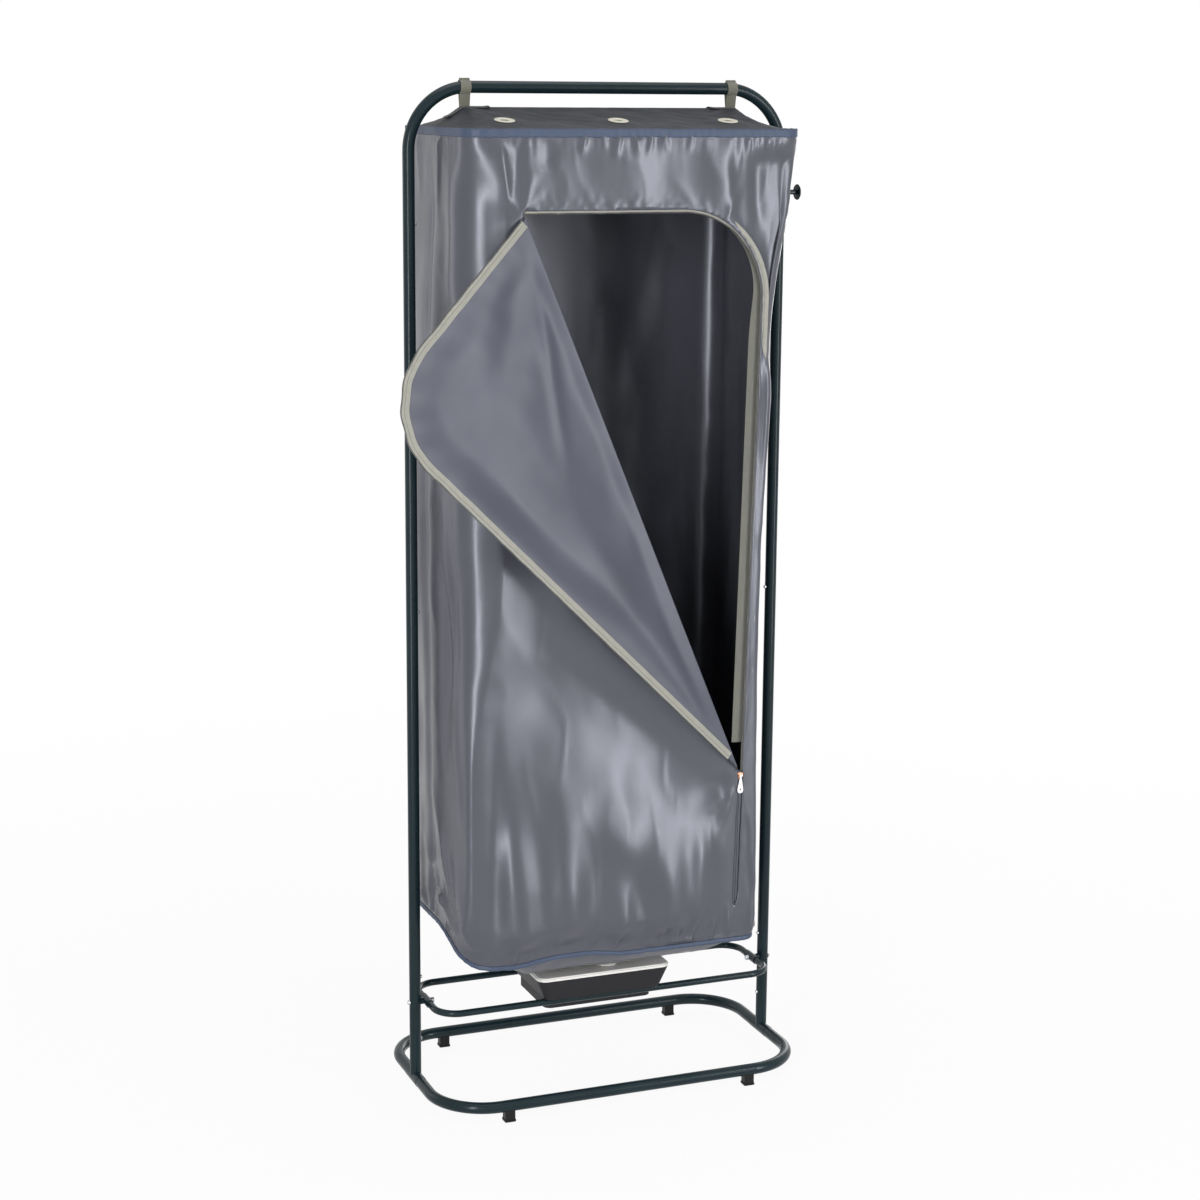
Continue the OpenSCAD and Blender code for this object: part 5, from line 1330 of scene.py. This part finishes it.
class CABINET_OT_zip(bpy.types.Operator):
    """Sews in the zip: woven tapes, rows of teeth on both open sides, and the closed chain below"""

    bl_idname = "cabinet.zip"
    bl_label = "Zip"

    def execute(self, context):
        tooth = tooth_shape()
        self.door_side(tooth)
        self.facing()
        self.flap_side(tooth)
        self.closed_part(tooth)
        return {"FINISHED"}

    def door_side(self, tooth):
        """The opening's half of the tape, with its teeth."""
        inner, outer = matched_paths(0.6 * MM, TAPE_W, OPEN_ZIP_LOW, 4 * MM)

        def waved(flat):
            return on_front(flat, TAPE_Y + 0.25 * MM * ripple(on_front(flat), 0.030, 61))

        tape = ribbon("door_tape", inner, outer, waved, TAPE_T, 6)
        finish_piece(tape, [CLOTH["tape"]], "cabinet", ("door_zip_tape",))
        line, _ = matched_paths(1.5 * MM, 2 * MM, OPEN_ZIP_LOW, look().tooth_pitch)
        spots = on_front(line, TAPE_Y - 0.5 * MM)
        normal = np.tile([0.0, -1.0, 0.0], (len(spots), 1))
        teeth = repeated("door_teeth", tooth, spots, row_axes(spots, normal), TOOTH_SIZE)
        finish_piece(teeth, [CLOTH["teeth"]], "cabinet")

    def facing(self):
        """The strip behind the open zip, which shows beside the teeth down the door's right side. Its dark
        olive grey is painted shade on that band.
        """
        near, far = matched_paths(2.5 * MM, -15.5 * MM, OPEN_ZIP_LOW + 0.05, 6 * MM)
        lengths = arc_lengths(near)
        far = near + (far - near) * smooth((lengths - 0.33) / 0.26)[:, None]
        first = int(np.argmax(lengths > 0.34))
        strip = ribbon("zip_facing", near[first:], far[first:],
                       lambda flat: on_front(flat, TAPE_Y + 5.2 * MM), 0.5 * MM, 5)
        finish_piece(strip, [CLOTH["facing"]], "cabinet")

    def flap_side(self, tooth):
        """The flap's half of the tape, with its teeth."""
        inner, outer = matched_paths(-TAPE_W, -0.6 * MM, FLAP_LOW, 3 * MM)
        keep = (side_of_crease(inner) > 3 * MM) & (side_of_crease(outer) > 3 * MM)
        lift = 0.95 * MM

        def ribbed(flat):
            """The tape's outer strip stands up in a rib, and its inner edge is puckered."""
            away = distance_to_zip(flat)
            rib = np.sin(math.pi * np.clip((away - 1 * MM) / (7 * MM), 0, 1))
            pucker = smooth((away - 13.5 * MM) / (2 * MM)) * np.abs(ripple(on_front(flat), 0.016, 62))
            return flap_places(flat, lift + 0.5 * MM * rib + 0.6 * MM * pucker)

        tape = ribbon("flap_tape", inner[keep], outer[keep], ribbed, TAPE_T, 15)
        finish_piece(tape, [CLOTH["tape"]], "door_flap_body", ("flap_zip_tape",))
        spots, axes = flap_row(-1.5 * MM, -4 * MM, look().tooth_pitch, lift + 0.5 * MM, 4 * MM)
        teeth = repeated("flap_teeth", tooth, spots, axes, TOOTH_SIZE)
        finish_piece(teeth, [CLOTH["teeth"]], "door_flap_body")

    def closed_part(self, tooth):
        """The closed chain below the slider, and the cloth's two folded edges over it."""
        z = np.arange(ZIP_END, SLIDER_Z, look().tooth_pitch)
        side = np.where(np.arange(len(z)) % 2, 1, -1)
        origins = np.stack([zip_x(z) + side * 0.55 * MM, TAPE_Y + 0.9 * MM + 0 * z, z], -1)
        axes = np.tile(np.array([(0, 0, 1.0), (1, 0, 0), (0, -1, 0)]), (len(z), 1, 1))
        chain = repeated("closed_chain", tooth, origins, axes, (1.25 * MM, 3.2 * MM, 1.7 * MM))
        finish_piece(chain, [CLOTH["teeth"]], "cabinet", ("zip_chain",))
        heights = np.linspace(ZIP_END - 14 * MM, SLIDER_Z + 10 * MM, 40)

        def lip(flat):
            gap = np.abs(flat[:, 0] - zip_x(flat[:, 1]))
            return on_front(flat, TAPE_Y - 0.5 * MM * np.exp(-(gap / (2 * MM)) ** 2))

        for side, name in ((-1, "closed_tape_left"), (1, "closed_tape_right")):
            inner = np.stack([zip_x(heights) + side * 0.35 * MM, heights], -1)
            outer = np.stack([zip_x(heights) + side * 13 * MM, heights], -1)
            tape = ribbon(name, inner, outer, lip, TAPE_T, 8)
            finish_piece(tape, [CLOTH["outer"]], "cabinet")


RIDGE_SEAM_Y = 8 * MM
# The webbing's cross-section: shares of its width and of its thickness
WEBBING_PROFILE = [
    (-0.5, 0.30), (-0.44, 0.5), (-0.2, 0.5), (0.2, 0.5), (0.44, 0.5), (0.5, 0.30),
    (0.5, -0.30), (0.44, -0.5), (0.2, -0.5), (-0.2, -0.5), (-0.44, -0.5), (-0.5, -0.30),
]


def strap_path(bar_z, bar_r, apex_z, rail_z, rail_r, half):
    """The closed line of a webbing strap: round the top bar, down its stem and round the rail."""
    reach = math.degrees(math.asin(bar_r / (bar_z - apex_z)))
    points = []
    for a in np.linspace(-(90 - reach), 180 + 90 - reach, 40):
        turn = math.radians(a)
        points.append((-bar_r * math.cos(turn), bar_z + bar_r * math.sin(turn)))
    left = [(half, z) for z in np.linspace(apex_z, rail_z + rail_r * 0.995, 6)]
    lean = math.degrees(math.asin(half / rail_r))
    ring = [(rail_r * math.sin(math.radians(a)), rail_z + rail_r * math.cos(math.radians(a)))
            for a in np.linspace(lean, 360 - lean, 34)]
    right = [(-half, z) for z in np.linspace(rail_z + rail_r * 0.995, apex_z, 6)]
    return np.array(points + left + ring[1:-1] + right)


class CABINET_OT_straps(bpy.types.Operator):
    """Makes the webbing straps over the top bar and the sewn strips along the ridge"""

    bl_idname = "cabinet.straps"
    bl_label = "Webbing"

    def execute(self, context):
        for side, name in ((-1, "left"), (1, "right")):
            self.strap(side, name)
            self.strip(side, name)
        return {"FINISHED"}

    def strap(self, side, name):
        """One strap, which goes round the top bar and through the roof round the hanging rail."""
        low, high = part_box("roof_strap_" + name)
        middle, width = (low.x + high.x) / 2, high.x - low.x
        bar_r = 10 * MM
        bar_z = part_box("top_rail")[1].z - bar_r
        rail_low, rail_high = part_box("hanging_rail")
        rail_z, rail_r = (rail_low.z + rail_high.z) / 2, (rail_high.z - rail_low.z) / 2
        thickness = 1.3 * MM
        line = strap_path(bar_z - 0.3 * MM, bar_r + 0.45 * MM + thickness / 2, RIDGE_TOP + 4 * MM, rail_z,
                          rail_r + 0.3 * MM + thickness / 2, 0.8 * MM)
        step = 1.6 * MM
        line = even_path(closed_ring(line), step)[:-1]
        tangent = unit_rows(np.roll(line, -1, 0) - np.roll(line, 1, 0))
        normal = np.stack([tangent[:, 1], -tangent[:, 0]], -1)
        lengths = np.arange(len(line)) * step
        sway = 0.2 * MM * np.sin(lengths / 0.031 + side)
        profile = np.array(WEBBING_PROFILE)
        spots = line[:, None] + normal[:, None] * (profile[:, 1:] * thickness)
        x = middle + profile[:, 0] * width + sway[:, None]
        points = np.concatenate([x[..., None], spots], -1)
        uv = spread_uv(lengths[:, None], profile[:, 0] * width, x.shape)
        piece = mesh_piece("strap_" + name, points, tube_faces(*x.shape, closed_path=True), uv)
        point_outwards(piece)
        shade(piece, 45)
        join([piece, self.rolled_end(middle, bar_z + 12.1 * MM, width)])
        finish_piece(piece, [CLOTH["webbing"]], "cabinet", ("roof_strap_" + name,))

    def rolled_end(self, x, z, width):
        """The rolled end of the webbing, sewn down on top of the bar."""
        clear_selection()
        bpy.ops.mesh.primitive_cylinder_add(vertices=20, radius=2.3 * MM, depth=width * 0.98,
                                            location=(x, 0, z), rotation=(0, math.pi / 2, 0))
        roll = bpy.context.object
        bpy.ops.object.transform_apply(location=True, rotation=True, scale=True)
        apply_modifier(roll, "BEVEL", width=0.6 * MM, segments=2, limit_method="ANGLE")
        roll.data.uv_layers[0].name = "Weave"
        shade(roll, 45)
        return roll

    def strip(self, side, name):
        """The dark strip sewn along the ridge beside a strap, with a dip under each row of thread."""
        inner, outer, half_width = 197 * MM, 271 * MM, 11 * MM
        shape = rows, count = 16, 60
        x = np.broadcast_to(side * np.linspace(inner, outer, count), shape)
        y = np.broadcast_to(np.linspace(-half_width, half_width, rows)[:, None], shape)
        share = np.linspace(0, 1, count)
        z = roof_height(x, y) + 2.6 * MM
        z = z + 1.0 * MM * smooth((0.14 - share) / 0.14) + 2.2 * MM * smooth((share - 0.86) / 0.14)
        dip = 0.5 * MM * np.exp(-((np.abs(np.abs(y) - RIDGE_SEAM_Y)) / 0.0012) ** 2)
        faces = [face[::-1] for face in grid_faces(*shape)] if side < 0 else grid_faces(*shape)
        piece = mesh_piece("ridge_strip_" + name, np.stack([x, y, z - dip], -1), faces,
                           np.stack([x, y], -1))
        thicken(piece, 1.1 * MM)
        shade(piece, 50)
        own = ("ridge_patches",) if side < 0 else ()
        finish_piece(piece, [CLOTH["dark_webbing"]], "cabinet", own)


class CABINET_OT_stitching(bpy.types.Operator):
    """Lays the rows of thread along the flap's tape and the ridge strips"""

    bl_idname = "cabinet.stitching"
    bl_label = "Stitching"

    def execute(self, context):
        stitch = stitch_shape()
        pitch, thread = look().stitch_pitch, 0.42 * MM
        spots, axes = flap_row(-12.5 * MM, -14 * MM, pitch, 1.35 * MM, 6 * MM)
        piece = repeated("flap_stitches", stitch, spots, axes, (pitch * 0.68, thread, thread))
        finish_piece(piece, [CLOTH["thread"]], "door_flap_body")
        rows = []
        for side in (-1, 1):
            for y in (-RIDGE_SEAM_Y, RIDGE_SEAM_Y):
                x = side * np.arange(203 * MM, 266 * MM, 3.4 * MM)
                y = np.full_like(x, y)
                rows.append(np.stack([x, y, roof_height(x, y) + 2.5 * MM], -1))
        spots = np.concatenate(rows)
        axes = np.tile(np.eye(3), (len(spots), 1, 1))
        piece = repeated("ridge_stitches", stitch, spots, axes, (2.3 * MM, 0.5 * MM, 0.5 * MM))
        finish_piece(piece, [CLOTH["thread"]], "cabinet")
        return {"FINISHED"}


def nodes_from(*starts):
    """Names of the frame's nodes that start with one of the given words."""
    return [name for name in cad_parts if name.startswith(starts)]


def paint_nodes(names, material):
    """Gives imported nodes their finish."""
    for name in names:
        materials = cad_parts[name].data.materials
        materials.clear()
        materials.append(material)


class CABINET_OT_frame_finish(bpy.types.Operator):
    """Paints the tubes and gives the fittings their plastic and metal"""

    bl_idname = "cabinet.frame_finish"
    bl_label = "Frame finish"

    def execute(self, context):
        painted = nodes_from("top_rail", "upper_upright", "lower_upright", "leg_", "base_", "shelf_ring",
                             "shelf_joiners", "side_peg")
        paint_nodes(painted, paint_finish(tuple(look().frame_colour)))
        black = moulded_finish("black_plastic", (0.010, 0.010, 0.011), roughness=0.46, grain=900,
                               depth_mm=0.08, specular=0.2)
        paint_nodes(nodes_from("foot_") + ["rail_caps"], black)
        steel = metal_finish("steel", (0.62, 0.63, 0.65), roughness=0.28, stretch=(900, 900, 30))
        paint_nodes(nodes_from("snap_button") + ["button_springs", "hanging_rail", "top_wire"], steel)
        screw = metal_finish("screw_steel", (0.55, 0.56, 0.58), roughness=0.30, stretch=(300, 300, 300))
        paint_nodes(["tee_screws", "shelf_bolts"], screw)
        eyelet = moulded_finish("eyelet_plastic", (0.70, 0.67, 0.56), roughness=0.34, grain=700,
                                depth_mm=0.05, vary=0.08)
        paint_nodes(["eyelets"], eyelet)
        copper = metal_finish("copper_metal", (0.83, 0.46, 0.30), roughness=0.24, stretch=(400, 400, 200))
        paint_nodes(["zip_slider"], copper)
        bright = metal_finish("bright_metal", (0.86, 0.86, 0.87), roughness=0.20,
                              stretch=(1500, 1500, 200), tarnish=0.12)
        paint_nodes(["zip_pull"], bright)
        return {"FINISHED"}


class CABINET_OT_heater_finish(bpy.types.Operator):
    """Gives the heater its shells' finish, its inner metal and the marks round its dial"""

    bl_idname = "cabinet.heater_finish"
    bl_label = "Heater finish"

    def execute(self, context):
        dark = moulded_finish("heater_dark", (0.020, 0.020, 0.023), roughness=0.50, grain=1100,
                              depth_mm=0.10, specular=0.18)
        paint_nodes(["heater_base"], dark)
        white = moulded_finish("heater_white", (0.80, 0.79, 0.755), roughness=0.42, grain=950,
                               depth_mm=0.06, vary=0.05)
        paint_nodes(["heater_cover", "control_dial"], white)
        black = moulded_finish("grille_black", (0.02, 0.02, 0.021), roughness=0.52, grain=900,
                               depth_mm=0.08)
        paint_nodes(["outlet_grille", "cord_inlet"], black)
        grey = moulded_finish("fan_plastic", (0.045, 0.045, 0.05), roughness=0.42, grain=700, depth_mm=0.06)
        paint_nodes(["fan_impeller"], grey)
        cream = moulded_finish("timer_plastic", (0.62, 0.60, 0.52), roughness=0.45, grain=700,
                               depth_mm=0.06)
        paint_nodes(["dial_timer"], cream)
        motor = metal_finish("motor_steel", (0.50, 0.50, 0.52), roughness=0.34, stretch=(60, 60, 900))
        paint_nodes(["fan_motor"], motor)
        fins = metal_finish("element_metal", (0.60, 0.57, 0.50), roughness=0.38, stretch=(200, 900, 200))
        paint_nodes(["heating_element"], fins)
        screws = metal_finish("cover_screws", (0.6, 0.61, 0.62), roughness=0.3, stretch=(500, 500, 500))
        paint_nodes(["heater_screws"], screws)
        self.scale_marks()
        return {"FINISHED"}

    def scale_marks(self):
        """Ink in the grooves round the dial."""
        low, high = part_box("control_dial")
        x, y = (low.x + high.x) / 2, (low.y + high.y) / 2
        reach = (high.x - low.x) / 2 + 6.5 * MM
        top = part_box("heater_cover")[1].z - 22 * MM
        marks = []
        for angle in range(-135, 136, 30):
            turn = math.radians(angle)
            clear_selection()
            bpy.ops.mesh.primitive_cube_add(size=1)
            mark = bpy.context.object
            mark.scale = (1.1 * MM, 4.9 * MM, 0.5 * MM)
            mark.rotation_euler = (0, 0, turn)
            mark.location = (x - reach * math.sin(turn), y + reach * math.cos(turn), top - 0.2 * MM)
            bpy.ops.object.transform_apply(location=True, rotation=True, scale=True)
            apply_modifier(mark, "BEVEL", width=0.15 * MM, segments=2)
            marks.append(mark)
        ink = join(marks)
        ink.name = "scale_marks"
        shade(ink, 40)
        finish_piece(ink, [printed_finish("scale_ink", (0.12, 0.12, 0.13))], "heater")


# The soft lamps: place, width, height, and share of the full power
LAMPS = {
    "front_right": ((1.85, -2.75, 1.18), 0.50, 2.3, 0.85),
    "left": ((-1.95, -2.26, 1.18), 0.45, 2.3, 0.85),
    "top": ((0.1, -0.2, 3.9), 2.0, 2.0, 0.45),
    "rear_left": ((-2.6, 2.4, 1.5), 1.2, 2.0, 0.14),
    "rear_right": ((2.2, 2.2, 1.4), 1.0, 2.2, 0.35),
}
AIM_TOP = 1.2


class CABINET_OT_stage(bpy.types.Operator):
    """Sets the pale floor, the soft lamps and the camera"""

    bl_idname = "cabinet.stage"
    bl_label = "Stage"

    def execute(self, context):
        self.floor()
        self.surroundings()
        for name, (place, width, height, share) in LAMPS.items():
            self.lamp(name, Vector(place), width, height, look().lamp_power * share)
        self.camera()
        return {"FINISHED"}

    def floor(self):
        clear_selection()
        bpy.ops.mesh.primitive_plane_add(size=60)
        ground = bpy.context.object
        ground.name = "pale_floor"
        bpy.ops.object.mode_set(mode="EDIT")
        bpy.ops.mesh.select_all(action="SELECT")
        bpy.ops.mesh.subdivide(number_cuts=3)
        bpy.ops.object.mode_set(mode="OBJECT")
        ground.data.materials.append(white_floor_finish(near_glow=0.92, reach=3.0))

    def surroundings(self):
        """An even pale light from all round, which the camera and reflections see as plain white."""
        world = bpy.data.worlds.new("surroundings")
        bpy.context.scene.world = world
        world.use_nodes = True
        sky = Shading(world.node_tree)
        dim = sky.tree.nodes["Background"]
        sky.feed(dim, {"Color": (1, 1, 1), "Strength": look().sky_strength})
        white = sky.node("ShaderNodeBackground", {}, {"Color": (1, 1, 1)})
        sky.close("World Output", sky.seen_plainly(), Signal(sky, dim.outputs[0]), white)

    def lamp(self, name, place, width, height, power):
        """A soft rectangular lamp, aimed at the cabinet's middle at its own height or at AIM_TOP."""
        lamp = bpy.data.lights.new(name, "AREA")
        lamp.shape = "RECTANGLE"
        lamp.size = width
        lamp.size_y = height
        lamp.energy = power
        holder = bpy.data.objects.new(name, lamp)
        bpy.context.scene.collection.objects.link(holder)
        turn = (Vector((0, 0, min(place.z, AIM_TOP))) - place).to_track_quat("-Z", "Y")
        holder.matrix_world = Matrix.Translation(place) @ turn.to_matrix().to_4x4()

    def camera(self):
        """The photograph's view: where it stands, how it is turned, and its focal length in pixels."""
        place = Vector((-1.5460, -3.8898, 1.7264))
        yaw, pitch, roll = 0.37984, 0.20518, 0.00786
        focal_px, image_px, sensor_mm = 2465.25, 1200, 36
        level = math.cos(pitch)
        ahead = Vector((math.sin(yaw) * level, math.cos(yaw) * level, -math.sin(pitch)))
        right = Vector((math.cos(yaw), -math.sin(yaw), 0))
        up = right.cross(ahead)
        right, up = (math.cos(roll) * right + math.sin(roll) * up,
                     math.cos(roll) * up - math.sin(roll) * right)
        view = bpy.data.cameras.new("view")
        view.sensor_width = sensor_mm
        view.lens = sensor_mm * focal_px / image_px
        holder = bpy.data.objects.new("view", view)
        bpy.context.scene.collection.objects.link(holder)
        turn = Matrix((right, up, -ahead)).transposed().to_4x4()
        holder.matrix_world = Matrix.Translation(place) @ turn
        bpy.context.scene.camera = holder
        bpy.context.scene.view_settings.view_transform = "Standard"


def cloth_finishes():
    """The cloths, tapes and threads, shared by the pieces."""
    values = look()
    weave, fine = 1.5 * MM, 0.08
    CLOTH["outer"] = cloth_finish("bag_cloth", tuple(values.cloth_colour), 0.32, weave, 0.5, fine, 0.35)
    CLOTH["lining"] = cloth_finish("bag_lining", tuple(values.lining_colour), 0.52, weave, 0.3, fine)
    CLOTH["flap"] = cloth_finish("flap_lining", tuple(values.flap_colour), 0.38, weave, 0.34, fine, 0.10)
    # The roof cloth's dark colour is painted shade
    CLOTH["roof"] = cloth_finish("roof_cloth", tuple(values.roof_shade_colour), 0.58, weave, 0.15, fine)
    CLOTH["binding"] = cloth_finish(
        "binding_cloth", tuple(values.binding_colour), 0.5, 1.1 * MM, 0.4, 0.14)
    CLOTH["tape"] = webbing_finish("zip_tape", tuple(values.tape_colour), 1.4 * MM, groove_shade_at=8.3 * MM)
    # Painted shade: the facing's dark olive grey stands for the zip tape's band seen in shade down the
    # door's side
    CLOTH["facing"] = webbing_finish("zip_facing", (0.155, 0.155, 0.135), 1.2 * MM)
    CLOTH["webbing"] = webbing_finish("webbing", tuple(values.webbing_colour), 2.2 * MM)
    CLOTH["dark_webbing"] = webbing_finish("dark_webbing", (0.030, 0.032, 0.036), 2.0 * MM)
    CLOTH["teeth"] = moulded_finish("zip_teeth", (0.030, 0.032, 0.036), roughness=0.36, grain=900,
                                    depth_mm=0.03)
    CLOTH["thread"] = moulded_finish("thread", (0.30, 0.30, 0.27), roughness=0.7, grain=1500,
                                     depth_mm=0.05)


class CABINET_PT_panel(bpy.types.Panel):
    """Lists the pieces and their sizes in the sidebar"""

    bl_label = "Drying cabinet"
    bl_idname = "CABINET_PT_panel"
    bl_space_type = "VIEW_3D"
    bl_region_type = "UI"
    bl_category = "Drying cabinet"

    def draw(self, context):
        for name in CabinetLook.__annotations__:
            self.layout.prop(context.scene.cabinet_look, name)
        for operator in OPERATORS:
            self.layout.operator(operator.bl_idname)


OPERATORS = (CABINET_OT_frame_finish, CABINET_OT_heater_finish, CABINET_OT_bag_walls, CABINET_OT_bag_roof,
             CABINET_OT_bag_floor, CABINET_OT_bindings, CABINET_OT_door_flap, CABINET_OT_zip,
             CABINET_OT_straps, CABINET_OT_stitching, CABINET_OT_stage)
CLASSES = (CabinetLook, *OPERATORS, CABINET_PT_panel)


def register():
    for entry in CLASSES:
        bpy.utils.register_class(entry)
    bpy.types.Scene.cabinet_look = PointerProperty(type=CabinetLook)


def unregister():
    del bpy.types.Scene.cabinet_look
    for entry in reversed(CLASSES):
        bpy.utils.unregister_class(entry)


def main():
    register()
    cloth_finishes()
    for operator in OPERATORS:
        group, name = operator.bl_idname.split(".")
        getattr(getattr(bpy.ops, group), name)()


if __name__ == "__main__":
    main()
